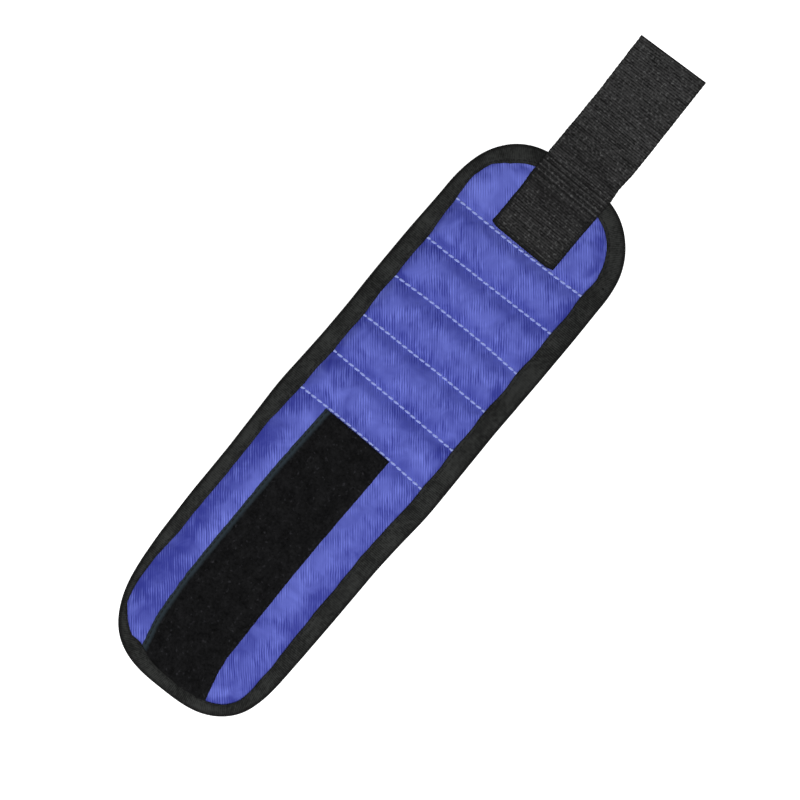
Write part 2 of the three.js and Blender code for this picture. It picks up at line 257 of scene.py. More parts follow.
# How far each edge of the band lies off its straight line, as x along the band and shift there
LIE_LEFT = (
    (-184, 0.6), (-176, 0.0), (-170, -0.9), (-146, -1.3), (-134, 0.0), (-110, 0.8), (-75, 1.0),
    (-40, 0.5), (-10, -0.8), (40, -0.5), (78, -1.3), (100, -0.2),
)
LIE_RIGHT = (
    (-184, -1.2), (-172, -2.4), (-160, -0.2), (-146, 1.5), (-120, 0.7), (-80, 0.2), (-40, -0.5),
    (-10, -0.1), (50, -0.8), (80, -0.5), (98, -1.5), (117, -0.1),
)
LIE_SMOOTHING = (-6.0, -3.0, 0.0, 3.0, 6.0)

# How far each seam lies off its straight line at the left, in the middle and at the right
SEAM_LIE = (
    (0.2, 0.2, -0.8), (-0.1, -0.4, -0.9), (-0.9, -0.4, -0.3),
    (-0.3, 0.8, 0.3), (-0.1, 0.6, 1.5), (-0.3, -0.1, 1.1),
)
SEAM_LIE_HALF = 30.0
SEAM_LIE_MOST = 1.2
SEAM_LIE_FADE = 22.0
SEAM_GAP = 0.6
SEAM_POINTS = 40
SEAM_STITCH_HEIGHTS = (SEAM_TOP + 0.22, 0.4)

# Loop panel: where its edges lie, as x along the band and y there
PANEL_LEFT = (
    (-176, 17.6), (-170, 19.1), (-163, 21.0), (-157, 21.9), (-143, 22.6), (-105, 21.9), (-75, 21.9),
    (-41, 21.0),
)
PANEL_RIGHT = (
    (-176, -19.5), (-170, -18.0), (-163, -16.6), (-155, -16.2), (-143, -16.7), (-105, -15.9),
    (-41, -16.1),
)
# Its section at the right and the left edge, as distance inside the edge and height against the nap
RIGHT_SECTION = ((0.0, -1.5), (-0.05, -1.0), (0.2, -0.55), (0.8, -0.4))
LEFT_SECTION = (
    (3.6, -0.35), (2.9, -0.7), (1.6, -0.7), (0.6, -0.72), (0.1, -0.9), (-0.05, -1.15), (0.0, -1.5),
)
NAP_RIGHT = 1.6
NAP_LEFT = 3.9
NAP_STEP = 0.95
NAP_DEPTH = 0.3
SELVEDGE = 2.7
SELVEDGE_FADE = 1.4
PANEL_GAP = 0.1
PANEL_LENGTH = 130.0
PANEL_UNDER = 2.0
PANEL_DIVE = (PANEL_UNDER - 0.6, 2.6)
PANEL_LEAST = 0.35
PANEL_ROLL = 0.9
PANEL_ROLL_RUN = 1.2
PANEL_SINK = 0.05
# The nap's fibres keep inside these edges, and their number holds for this margin off the whole panel.
PILE_RIGHT = 1.0
PILE_LEFT = 4.0
PILE_DEPTH = 0.35
PILE_MARGIN_X = 12.0
PILE_MARGIN_Y = 5.0
FIBRE_RADIUS = 0.07
PANEL_STITCH_RIGHT = (1.3, 0.25)
PANEL_STITCH_LEFT = (1.1, 0.62)
PANEL_STITCH_INSET = 8.0
PANEL_STITCH_FRONT = 1.5
LINE_POINTS = 30

# Strap: half its width on either side, as x along the strap and half width there
STRAP_LEFT = ((75, 17.4), (97, 17.4), (102, 17.8), (150, 17.8), (184, 18.9))
STRAP_RIGHT = ((75, 18.1), (97, 18.2), (115, 18.8), (122, 18.1), (131, 18.7), (150, 18.4), (184, 17.6))
STRAP_ACROSS = (-1, -0.992, -0.975, -0.95, *np.linspace(-0.92, 0.92, 19), 0.95, 0.975, 0.992, 1)
STRAP_THICKNESS = 0.8
EDGE_ROLL = 0.025
EDGE_LOOPS = 0.12
EDGE_SET = 0.1
LEAST_BULGE = 0.03
RIB_COLUMNS = 4
RIB_HEIGHT = 0.07
# It climbs over the binding and comes down to its rest past the band's end.
CLIMB_INSET = 9.0
CLIMB_RUN = 4.0
STRAP_RAISED = 3.8
STRAP_REST = 26.0
# The corners of its sewn end are turned under, and its tip is cut a little askew.
ROOT_SET = 0.5
ROOT_CORNER = 1.0
CORNER_SHARE = 0.7
CORNER_RUN = 8.0
TIP_SKEW = 0.052
SKEW_LENGTH = 40.0
# Rows of tacking press it down, and it swells round them.
TACK_X = (105.2, 107.5, 109.7, 111.9, 114.2)
TACK_SPREAD = 0.6
TACK_DEPTH = 0.28
TACKED_SPREAD = 6.0
TACKED_SWELL = 0.16
# Its tone on the root and further along the tail, its painted highlight on the swell round the tacking, and
# its painted shade in the tacking's grooves
ROOT_TONE = 0.42
TAIL_TONE = 0.24
TAIL_TONE_RUN = 60.0
TACKED_HIGHLIGHT = 0.24
TACK_SHADE = 0.42
# Painted shade where the strap climbs onto the binding and where it bends down, as x along the strap, spread
# and shade, and the dark rims of root and tail
CLIMB_SHADE_X = 100.5
STRAP_SHADES = ((CLIMB_SHADE_X, 2.6, 0.2), (BEND_X + 1.7, 1.2, 0.16))
ROOT_RIM = 2.6
TAIL_RIM = 1.7
LEFT_RIM_SHARE = 0.6
RIM_START = 0.2
TIP_RIM_START = 0.3
# Its stitches: rows of tacking, two rows along the root and one across its end
STITCH_INSET = 1.8
TACK_OVERHANG = 0.6
TACK_SINK = 0.05
STITCH_RISE = 0.02
ROOT_ROW_START = 2.5
ROOT_ROW_END = 1.5
END_ROW_X = 2.2
END_ROW_INSET = 1.2
ROW_POINTS = 20

# Hook tape
BACKING = 0.35
BACKING_GAP = 0.02
BACKING_COLUMNS = 60
BACKING_ROWS = 9
HOOK_START_X = 1.5
HOOK_START_Y = 1.2
HOOK_END = 1.0
HOOK_STAGGER = 0.2
HOOK_HEIGHT = 0.82
HOOK_THICKNESS = 0.13

# Stitches sway a little from one to the next. Seams are sewn with pale thread, edges with black.
STITCH_SWAY = 0.06
THREADS = {"seam": "Pale polyester thread", "edge": "Black polyester thread"}

# Seeds of what is scattered or sways. A stretch or a seam adds its own number.
SEEDS = {"nap": 5, "hooks": 7, "binding": 11, "seams": 20, "panel": 31, "strap": 41}

# Patterns: a Wave texture turns once in this many units, so a pitch gives a scale.
WAVE_TURN = 0.1 * math.pi
TWILL_ANGLE = math.radians(39.6)

# Stage: the camera's turn, and places and widths in metres
PHOTO_TURN = math.radians(-50.454)
SENSOR_WIDTH = 36.0
CLIP_END = 50.0
FLOOR_HALF = 6.0
KEY_PLACE = (-0.4626, -0.3822, 0.9)
KEY_WIDTH = 0.4
TOP_PLACE = (0.1, 0.25, 1.2)
TOP_WIDTH = 0.9


def linear(code):
    """An sRGB hex colour as linear red, green and blue."""
    shares = [int(code[place : place + 2], 16) / 255 for place in (1, 3, 5)]
    return tuple(c / 12.92 if c <= 0.04045 else ((c + 0.055) / 1.055) ** 2.4 for c in shares)


def number_property(name, description, default, **kind):
    """A number that a user can change."""
    return bpy.props.FloatProperty(name=name, description=description, default=default, **kind)


def length_property(name, description, size):
    """A length that a user can change, with its default in millimetres."""
    return number_property(name, description, size * MM, min=0, unit="LENGTH", precision=5)


def colour_property(name, description, code):
    """A colour that a user can change, with its default as an sRGB hex value."""
    return bpy.props.FloatVectorProperty(
        name=name, description=description, default=linear(code), size=3, min=0, max=1, subtype="COLOR"
    )


class WristbandSewing(bpy.types.PropertyGroup):
    """Sizes of what is sewn, woven and napped."""

    seam_pitch: length_property("Seam pitch", "Distance between the pale stitches of the seams", 3.25)
    seam_length: length_property("Seam stitch", "Length of one pale stitch", 3.25)
    seam_thread: length_property("Seam thread", "Width of the pale thread", 1.25)
    edge_pitch: length_property("Edge pitch", "Distance between the black stitches", 2.6)
    edge_length: length_property("Edge stitch", "Length of one black stitch", 2.0)
    edge_thread: length_property("Edge thread", "Width of the black thread", 0.45)
    rib_pitch: length_property("Rib pitch", "Distance between the strap's woven ribs", 1.15)
    nap_radius: length_property("Nap radius", "Radius of one loop of the loop panel's nap", 0.42)
    hook_pitch: length_property("Hook pitch", "Distance between the strap's hooks", 1.5)
    nap_loops: bpy.props.IntProperty(
        name="Nap loops", description="Number of loops in the nap", default=3600, min=1
    )
    slack: number_property("Slack", "Spare length of the face cloth", 0.02, min=0, max=0.2, subtype="FACTOR")
    filling: number_property("Filling", "Pressure of the filling under the face cloth", 6.0, min=0)


class WristbandColours(bpy.types.PropertyGroup):
    """Colours of the cloth, tapes, threads and plating."""

    # Face and face shade are a lit and a shaded end of one blue: the ribs' painted highlight and the painted
    # shade by seams, binding and creases lie between them.
    face: colour_property("Face", "Blue face cloth where the light catches its ribs", "#7985e9")
    face_shade: colour_property("Face shade", "Blue face cloth between its ribs", "#30389a")
    thread: colour_property("Pale thread", "Thread of the six seams", "#a6b4f9")
    black_thread: colour_property("Black thread", "Thread of binding, tape and strap", "#0e0f0f")
    binding: colour_property("Binding", "Binding tape round the edge", "#202120")
    nap: colour_property("Nap", "Nap of the loop panel", "#131314")
    lint: colour_property("Lint", "Specks of lint in the nap", "#303033")
    selvedge: colour_property("Selvedge", "Flat woven edge of the loop panel", "#2c353b")
    strap: colour_property("Strap", "Woven strap", "#252525")
    strap_fleck: colour_property("Strap fleck", "Worn fibre ends on the strap", "#5a5a5a")
    hooks: colour_property("Hooks", "Moulded hooks", "#232324")
    lining: colour_property("Lining", "Spacer mesh on the skin side", "#242526")
    plating: colour_property("Plating", "Nickel plating of the magnets", "#c9c4ba")


class WristbandStage(bpy.types.PropertyGroup):
    """Camera, floor and lamps."""

    lens: number_property("Lens", "Focal length", 90.0, unit="CAMERA")
    view_width: length_property("View width", "Width of the band's plane that fills the picture", 361.8)
    aim_x: number_property("Aim X", "Picture centre along the band", -0.01426, unit="LENGTH")
    aim_y: number_property("Aim Y", "Picture centre across the band", -0.00212, unit="LENGTH")
    floor_drop: length_property("Floor drop", "How far below the band the floor lies, to let it bend", 200.0)
    key_power: number_property("Key lamp", "Power of the key lamp", 6.4, unit="POWER")
    top_power: number_property("Top lamp", "Power of the top lamp", 4.0, unit="POWER")
    sky: number_property("Sky", "Strength of the even light from all round", 0.2, min=0)


def ease(value, start=0.0, run=1.0):
    """A smooth rise from 0 to 1, over a run that begins at start."""
    return (1 - np.cos(np.pi * np.clip((value - start) / run, 0, 1))) / 2


def crown(share):
    """A round rise from 0 to 1, steepest at its foot."""
    return np.sin(np.pi / 2 * np.clip(share, 0, 1))


def hump(x, middle, spread):
    """A smooth hump of height 1 about the middle."""
    return np.exp(-(((x - middle) / spread) ** 2))


def uneven(what, x, y):
    """The sum of a surface's waves at each place."""
    x, y = np.broadcast_arrays(np.asarray(x, float), np.asarray(y, float))
    total = np.zeros(x.shape)
    for height, width, seed in WAVES[what]:
        shift = Vector([step * seed for step in SEED_SHIFT])
        heights = [noise.noise(Vector((*place, 0)) / width + shift) for place in zip(x.flat, y.flat)]
        total += height * np.reshape(heights, x.shape)
    return total


def between(table, x):
    """A value that a table gives at places along the band, read at x."""
    return np.interp(x, *zip(*table))


def points_at(x, y, z):
    """Points from their coordinates, each of them one number or a grid of numbers."""
    return np.stack(np.broadcast_arrays(x, y, z), -1).astype(float).reshape(-1, 3)


def travelled(points):
    """Distance along a line in the plane, from its first point to each."""
    return np.concatenate([[0], np.cumsum(np.hypot(*np.diff(points, axis=0).T))])


def spaced(breaks, step):
    """Numbers that hold every break, about a step apart."""
    runs = [
        np.linspace(low, high, max(2, round((high - low) / step) + 1))[:-1]
        for low, high in zip(breaks, breaks[1:])
    ]
    return np.concatenate([*runs, breaks[-1:]])


def half_width(x, inset):
    """Half the band's width at x, measured to a line that lies inset from the outer edge."""
    x = np.asarray(x, float)
    width = BAND_HALF - (BAND_HALF - LOOP_HALF) * ease((SEAM_X[0] - x) / LOOP_TAPER) - inset
    for end in (LOOP_END, STRAP_END):
        along = end.way * (x - end.centre) / np.maximum(end.length - inset, LEAST_LENGTH)
        rounded = (end.half - inset) * np.clip(1 - along**2, 0, 1) ** (1 / ROUND_POWER)
        width = np.where(along > 0, np.where(along > 1, -1.0, rounded), width)
    return width


def depth(x, y):
    """How far each point lies inside the band's outer edge."""
    x, y = np.broadcast_arrays(np.asarray(x, float), np.abs(y))
    low, high = np.zeros_like(x), np.full_like(x, MOST_DEPTH)
    for _ in range(DEPTH_HALVINGS):
        middle = (low + high) / 2
        inside = half_width(x, middle) >= y
        low, high = np.where(inside, middle, low), np.where(inside, high, middle)
    return low


def end_x(half, inset, end):
    """Where the line that lies inset from the outer edge is half wide, at a round end."""
    share = np.clip(np.abs(half) / (end.half - inset), 0, 1)
    return end.centre + end.way * (end.length - inset) * np.sqrt(1 - share**ROUND_POWER)


def binding_width(x, y):
    """Visible width of the binding's upper leg, on the edge at y's side."""
    return np.where(np.asarray(y) > 0, between(WIDTH_LEFT, x), between(WIDTH_RIGHT, x))


def laid(points):
    """The points moved a little, because neither the band's edges nor its seams lie quite straight."""
    moved = np.array(points, float)
    x, y = moved.T[:2].copy()
    right, left = (
        np.mean([between(edge, x + step) for step in LIE_SMOOTHING], axis=0) for edge in (LIE_RIGHT, LIE_LEFT)
    )
    moved[:, 1] += right + (left - right) * np.clip(0.5 + 0.5 * y / BAND_HALF, 0, 1)
    places = [SEAM_X[0] - SEAM_LIE_FADE, *SEAM_X, SEAM_X[-1] + SEAM_LIE_FADE]
    at_left, at_middle, at_right = (np.interp(x, places, [0.0, *shifts, 0.0]) for shifts in zip(*SEAM_LIE))
    side = np.clip(y / SEAM_LIE_HALF, -SEAM_LIE_MOST, SEAM_LIE_MOST)
    moved[:, 0] += at_middle * (1 - side**2)
    moved[:, 0] += at_left * side * (side + 1) / 2 + at_right * side * (side - 1) / 2
    return moved


def grid_quads(columns, rows, closed=False):
    """Corner numbers of a grid's quads. Its points run row by row in each column."""
    i, j = np.meshgrid(np.arange(columns - 1), np.arange(rows if closed else rows - 1), indexing="ij")
    k = (j + 1) % rows
    return np.stack([i * rows + j, (i + 1) * rows + j, (i + 1) * rows + k, i * rows + k], -1).reshape(-1, 4)


def read(items, key, width, kind=np.float32):
    """What each of a mesh's items holds, as an array."""
    values = np.empty(len(items) * width, kind)
    items.foreach_get(key, values)
    return values.reshape(-1, width)


def make_mesh(name, patch):
    """A smooth mesh in metres, with the cloth's own flat place as a UV map."""
    mesh = bpy.data.meshes.new(name)
    mesh.from_pydata((patch.points * MM).tolist(), [], patch.quads.tolist())
    corners = read(mesh.loops, "vertex_index", 1, np.int32).ravel()
    flat = (patch.lay[corners] * MM).astype(np.float32)
    mesh.uv_layers.new(name=LAY_MAP).uv.foreach_set("vector", flat.ravel())
    if patch.wear is not None:
        values = patch.wear.astype(np.float32)
        mesh.attributes.new(TONE_AND_SHADE, "FLOAT", "POINT").data.foreach_set("value", values)
    mesh.shade_smooth()
    return mesh


def make_object(name, mesh, finish=None):
    """Links a mesh into the scene at the origin, with its finish."""
    obj = bpy.data.objects.new(name, mesh)
    if finish is not None:
        mesh.materials.append(finish_of(finish))
    bpy.context.scene.collection.objects.link(obj)
    return obj


def read_patch(mesh):
    """A mesh of quads as arrays again."""
    points = read(mesh.vertices, "co", 3).astype(float) / MM
    quads = read(mesh.loops, "vertex_index", 1, np.int32).reshape(-1, 4)
    lay = np.zeros((len(points), 2))
    lay[quads.ravel()] = read(mesh.uv_layers[LAY_MAP].uv, "vector", 2) / MM
    return Patch(points, quads, lay)


def evaluated_mesh(obj):
    """The object's mesh with its modifiers applied."""
    return bpy.data.meshes.new_from_object(obj.evaluated_get(bpy.context.evaluated_depsgraph_get()))


def subdivided(patch):
    """The patch after one round of smooth subdivision."""
    obj = make_object("cloth_draft", make_mesh("cloth_draft", patch))
    modifier = obj.modifiers.new("Smooth", "SUBSURF")
    modifier.levels = modifier.render_levels = 1
    result = evaluated_mesh(obj)
    finer = read_patch(result)
    bpy.data.objects.remove(obj)
    bpy.data.meshes.remove(result)
    return finer


def part_of(patch, chosen):
    """The chosen quads as a patch of their own."""
    used = np.unique(patch.quads[chosen])
    number = np.full(len(patch.points), -1)
    number[used] = np.arange(len(used))
    wear, back = (None if values is None else values[used] for values in (patch.wear, patch.back))
    return Patch(patch.points[used], number[patch.quads[chosen]], patch.lay[used], wear, back)


def walled(patch):
    """The patch and its back as one closed shell, with walls along its rim."""
    count = len(patch.points)
    edges = np.stack([patch.quads, np.roll(patch.quads, -1, axis=1)], -1).reshape(-1, 2)
    shared = np.isin(edges @ (count, 1), edges @ (1, count))
    first, second = edges[~shared].T
    walls = np.column_stack([second, first, first + count, second + count])
    quads = np.concatenate([patch.quads, patch.quads[:, ::-1] + count, walls])
    wear = None if patch.wear is None else np.tile(patch.wear, 2)
    return Patch(np.concatenate([patch.points, patch.back]), quads, np.tile(patch.lay, (2, 1)), wear)


def close_ends(mesh):
    """Joins a tape to a ring where it meets itself, fills its open ends and keeps their edges crisp."""
    closing = bmesh.new()
    closing.from_mesh(mesh)
    bmesh.ops.remove_doubles(closing, verts=closing.verts, dist=JOIN_GAP * MM)
    bmesh.ops.holes_fill(closing, edges=[edge for edge in closing.edges if edge.is_boundary], sides=0)
    closing.to_mesh(mesh)
    closing.free()
    mesh.set_sharp_from_angle(angle=SHARP_FOLD)


def bend(obj):
    """Applies a piece's placing to its mesh, and leaves it on no body."""
    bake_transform(obj)


def move_with_band(obj, stretch):
    """The two ends ride on their body. A stretch between them has its placing applied and rides on no body.
    """
    if stretch in (0, len(CUTS)):
        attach(obj, BODIES[0 if stretch == 0 else -1])
    else:
        bend(obj)


def move_with_strap(obj):
    """A piece of the strap has its placing applied and rides on no body."""
    bend(obj)


def lay_in_stretches(name, patch, finish, replaced):
    """Cuts a layer of the band at the cuts, and makes one piece of each stretch."""
    stretch_of = np.searchsorted(CUTS, patch.points[patch.quads].mean(1)[:, 0])
    back = None if patch.back is None else laid(patch.back)
    patch = patch._replace(points=laid(patch.points), back=back)
    for stretch, place in enumerate(STRETCHES):
        chosen = stretch_of == stretch
        if not chosen.any():
            continue
        piece_name = f"{name}_{place}"
        part = part_of(patch, chosen)
        mesh = make_mesh(piece_name, part if part.back is None else walled(part))
        close_ends(mesh)
        obj = make_object(piece_name, mesh, finish)
        move_with_band(obj, stretch)
        if replaced.get(stretch):
            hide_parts(*replaced[stretch])


def layer_nodes(*kinds):
    """The frame's nodes of a layer, by the stretch that stands for them. The last seam's stands for none."""
    owners = [*BODIES[:-1], None, BODIES[-1]]
    return {
        stretch: [f"{body}_{kind}" for kind in kinds if f"{body}_{kind}" in frame["nodes"]]
        for stretch, body in enumerate(owners)
    }


def add(tree, kind, inputs=None, **settings):
    """Adds a node. An input takes a value, another node's output, or a node for its first output in use."""
    node = tree.nodes.new(kind)
    for key, value in settings.items():
        setattr(node, key, value)
    for key, value in (inputs or {}).items():
        named = [socket for socket in node.inputs if socket.enabled and socket.name == key]
        socket = named[0] if named else node.inputs[key]
        if isinstance(value, bpy.types.Node):
            value = next(output for output in value.outputs if output.enabled)
        if isinstance(value, bpy.types.NodeSocket):
            tree.links.new(value, socket)
        else:
            socket.default_value = value
    return node


def shade(colour, share=1.0):
    """A colour property as a socket's value, darkened or brightened by a share."""
    return (*(share * channel for channel in colour), 1.0)


def twill_cloth(tree, colours):
    """Polyester twill, woven and piece-dyed: diagonal ribs that catch light in streaks, on uneven blue."""
    lay = add(tree, "ShaderNodeUVMap", uv_map=LAY_MAP)
    turned = add(tree, "ShaderNodeMapping", {"Vector": lay, "Rotation": (0, 0, -TWILL_ANGLE)})
    # Ribs are 0.5 mm apart in such a cloth and are drawn 1.1 mm apart, so that they show.
    rib_inputs = {"Scale": WAVE_TURN / (1.1 * MM), "Distortion": 1.8, "Detail": 1.0, "Detail Scale": 0.6}
    ribs = add(tree, "ShaderNodeTexWave", {"Vector": turned, **rib_inputs}, bands_direction="Y")
    # Streaks 1.2 mm wide and 5 mm long follow the ribs.
    drawn_out = add(tree, "ShaderNodeMapping", {"Vector": turned, "Scale": (0.24, 1.0, 1.0)})
    streak_inputs = {"Scale": 1 / (1.9 * MM), "Detail": 1.0, "Roughness": 0.6}
    streaks = add(tree, "ShaderNodeTexNoise", {"Vector": drawn_out, **streak_inputs})
    # Blotches 12 mm across come from dye and handling.
    blotch_inputs = {"Scale": 1 / (12.0 * MM), "Detail": 3.0, "Roughness": 0.55, "Distortion": 0.8}
    blotches = add(tree, "ShaderNodeTexNoise", {"Vector": lay, **blotch_inputs})
    # The ribs show in patches 9 mm across, and the cloth between them looks smooth.
    moved = add(tree, "ShaderNodeMapping", {"Vector": lay, "Location": (0.4, 0.7, 0)})
    patches = add(tree, "ShaderNodeTexNoise", {"Vector": moved, "Scale": 1 / (9.0 * MM), "Detail": 1.0})
    patch_range = {"From Min": 0.38, "From Max": 0.62, "To Min": 0.08, "To Max": 1.1}
    strength = add(tree, "ShaderNodeMapRange", {"Value": patches, **patch_range})
    sharp = add(tree, "ShaderNodeMapRange", {"Value": streaks, "From Min": 0.28, "From Max": 0.72})
    pattern = add(tree, "ShaderNodeMix", {"Factor": 0.45, "A": ribs.outputs["Fac"], "B": sharp})
    centred = add(tree, "ShaderNodeMath", {0: pattern, 1: 0.48}, operation="SUBTRACT")
    blotch_range = {"From Min": 0.25, "From Max": 0.75, "To Min": 0.2, "To Max": 0.64}
    base = add(tree, "ShaderNodeMapRange", {"Value": blotches, **blotch_range})
    ribbed = add(tree, "ShaderNodeMath", {0: centred, 1: strength, 2: base}, operation="MULTIPLY_ADD")
    # The attribute holds painted shade beside the seams, beside the binding and in creases, and painted light
    # and shade on the loop end's strips; it draws the blue towards the shaded end.
    worn = add(tree, "ShaderNodeAttribute", attribute_name=TONE_AND_SHADE)
    shade_range = {"From Max": 1.4, "To Min": -0.45, "To Max": 0.18}
    pale = add(tree, "ShaderNodeMapRange", {"Value": worn.outputs["Fac"], **shade_range})
    share = add(tree, "ShaderNodeMath", {0: ribbed, 1: pale}, operation="ADD", use_clamp=True)
    ends = {"A": shade(colours.face_shade), "B": shade(colours.face)}
    colour = add(tree, "ShaderNodeMix", {"Factor": share, **ends}, data_type="RGBA")
    return {
        "Base Color": colour,
        "Normal": add(tree, "ShaderNodeBump", {"Height": pattern, "Distance": 0.12 * MM, "Strength": 0.4}),
        "Roughness": 0.72,
        "Specular IOR Level": 0.3,
        "Sheen Weight": 0.12,
        "Sheen Roughness": 0.4,
    }


def binding_tape(tree, colours):
    """Polyester binding tape, woven and folded: a matt black with a fine grain, a paler ridge of painted
    highlight, and painted shade at its fold, beside its lip and on its lower half.
    """
    lay = add(tree, "ShaderNodeUVMap", uv_map=LAY_MAP)
    # Ribs and grain are finer in such a tape, and are drawn about 1 mm across, so that they show.
    rib_inputs = {"Scale": WAVE_TURN / (0.9 * MM), "Distortion": 1.2, "Detail": 1.0}
    ribs = add(tree, "ShaderNodeTexWave", {"Vector": lay, **rib_inputs})
    grain_inputs = {"Scale": 1 / (1.8 * MM), "Detail": 3.0, "Roughness": 0.65}
    grain = add(tree, "ShaderNodeTexNoise", {"Vector": lay, **grain_inputs})
    # Patches 14 mm across are a little paler or darker at random.
    patches = add(tree, "ShaderNodeTexNoise", {"Vector": lay, "Scale": 1 / (14.0 * MM), "Detail": 2.0})
    weave = add(tree, "ShaderNodeMix", {"Factor": 0.8, "A": ribs.outputs["Fac"], "B": grain})
    tone = add(tree, "ShaderNodeMix", {"Factor": 0.4, "A": weave, "B": patches})
    tone_range = {"From Min": 0.4, "From Max": 0.6, "To Min": 0.15, "To Max": 0.9}
    even = add(tree, "ShaderNodeMapRange", {"Value": tone, **tone_range})
    # The attribute holds painted shade, darker towards the fold, beside the lip and on the lower half, with a
    # paler ridge between as painted highlight.
    worn = add(tree, "ShaderNodeAttribute", attribute_name=TONE_AND_SHADE)
    share = add(tree, "ShaderNodeMath", {0: even, 1: worn.outputs["Fac"]}, operation="MULTIPLY")
    ends = {"A": shade(colours.binding, 0.1), "B": shade(colours.binding, 2.6)}
    colour = add(tree, "ShaderNodeMix", {"Factor": share, **ends}, data_type="RGBA")
    return {
        "Base Color": colour,
        "Normal": add(tree, "ShaderNodeBump", {"Height": weave, "Distance": 0.14 * MM, "Strength": 0.6}),
        "Roughness": 0.85,
        "Specular IOR Level": 0.16,
        "Sheen Weight": 0.02,
        "Sheen Roughness": 0.5,
    }


def loop_tape(tree, colours):
    """Brushed nylon loop tape: a black nap that swallows light, with lint and a flat, slate-grey edge."""
    lay = add(tree, "ShaderNodeUVMap", uv_map=LAY_MAP)
    # The fuzz is finer in such a tape. It is drawn about 0.9 mm across, so that it shows, in clumps of 3 mm.
    fuzz_inputs = {"Scale": 1 / (1.6 * MM), "Detail": 4.0, "Roughness": 0.7}
    fuzz = add(tree, "ShaderNodeTexNoise", {"Vector": lay, **fuzz_inputs})
    clumps = add(tree, "ShaderNodeTexNoise", {"Vector": lay, "Scale": 1 / (6.0 * MM), "Detail": 2.0})
    # Specks of lint are about 1 mm across.
    specks = add(tree, "ShaderNodeTexNoise", {"Vector": lay, "Scale": 1 / (1.9 * MM), "Detail": 1.0})
    lint_range = {"From Min": 0.64, "From Max": 0.76, "To Max": 0.8}
    lint = add(tree, "ShaderNodeMapRange", {"Value": specks, **lint_range})
    # The flat edge begins in a fuzzy line.
    place = add(tree, "ShaderNodeSeparateXYZ", {"Vector": lay})
    fade_inputs = {0: fuzz, 1: SELVEDGE_FADE * MM, 2: place.outputs["Y"]}
    fade = add(tree, "ShaderNodeMath", fade_inputs, operation="MULTIPLY_ADD")
    start = TAPE_HIGH.y - SELVEDGE
    edge_range = {"From Min": start * MM, "From Max": (start + SELVEDGE_FADE) * MM}
    selvedge = add(tree, "ShaderNodeMapRange", {"Value": fade, **edge_range})
    tone = add(tree, "ShaderNodeMix", {"Factor": 0.4, "A": fuzz, "B": clumps})
    share = add(tree, "ShaderNodeMapRange", {"Value": tone, "From Min": 0.32, "From Max": 0.7})
    ends = {"A": shade(colours.nap, 0.2), "B": shade(colours.nap, 2.2)}
    nap = add(tree, "ShaderNodeMix", {"Factor": share, **ends}, data_type="RGBA")
    lint_inputs = {"Factor": lint, "A": nap, "B": shade(colours.lint)}
    linted = add(tree, "ShaderNodeMix", lint_inputs, data_type="RGBA")
    edge_inputs = {"Factor": selvedge, "A": linted, "B": shade(colours.selvedge)}
    return {
        "Base Color": add(tree, "ShaderNodeMix", edge_inputs, data_type="RGBA"),
        "Normal": add(tree, "ShaderNodeBump", {"Height": fuzz, "Distance": 0.3 * MM, "Strength": 0.7}),
        "Roughness": 0.95,
        "Specular IOR Level": 0.08,
        "Sheen Weight": 0.02,
    }


def nap_fibres(tree, colours):
    """Brushed nylon loops: soft black fibres, some of them paler with lint."""
    place = add(tree, "ShaderNodeTexCoord").outputs["Object"]
    # Paler fibres stand in clumps about 3 mm across.
    clumps = add(tree, "ShaderNodeTexNoise", {"Vector": place, "Scale": 1 / (3.6 * MM), "Detail": 2.0})
    share = add(tree, "ShaderNodeMapRange", {"Value": clumps, "From Min": 0.52, "From Max": 0.8})
    ends = {"A": shade(colours.nap), "B": shade(colours.lint)}
    return {
        "Base Color": add(tree, "ShaderNodeMix", {"Factor": share, **ends}, data_type="RGBA"),
        "Roughness": 0.9,
        "Specular IOR Level": 0.05,
        "Sheen Weight": 0.01,
    }


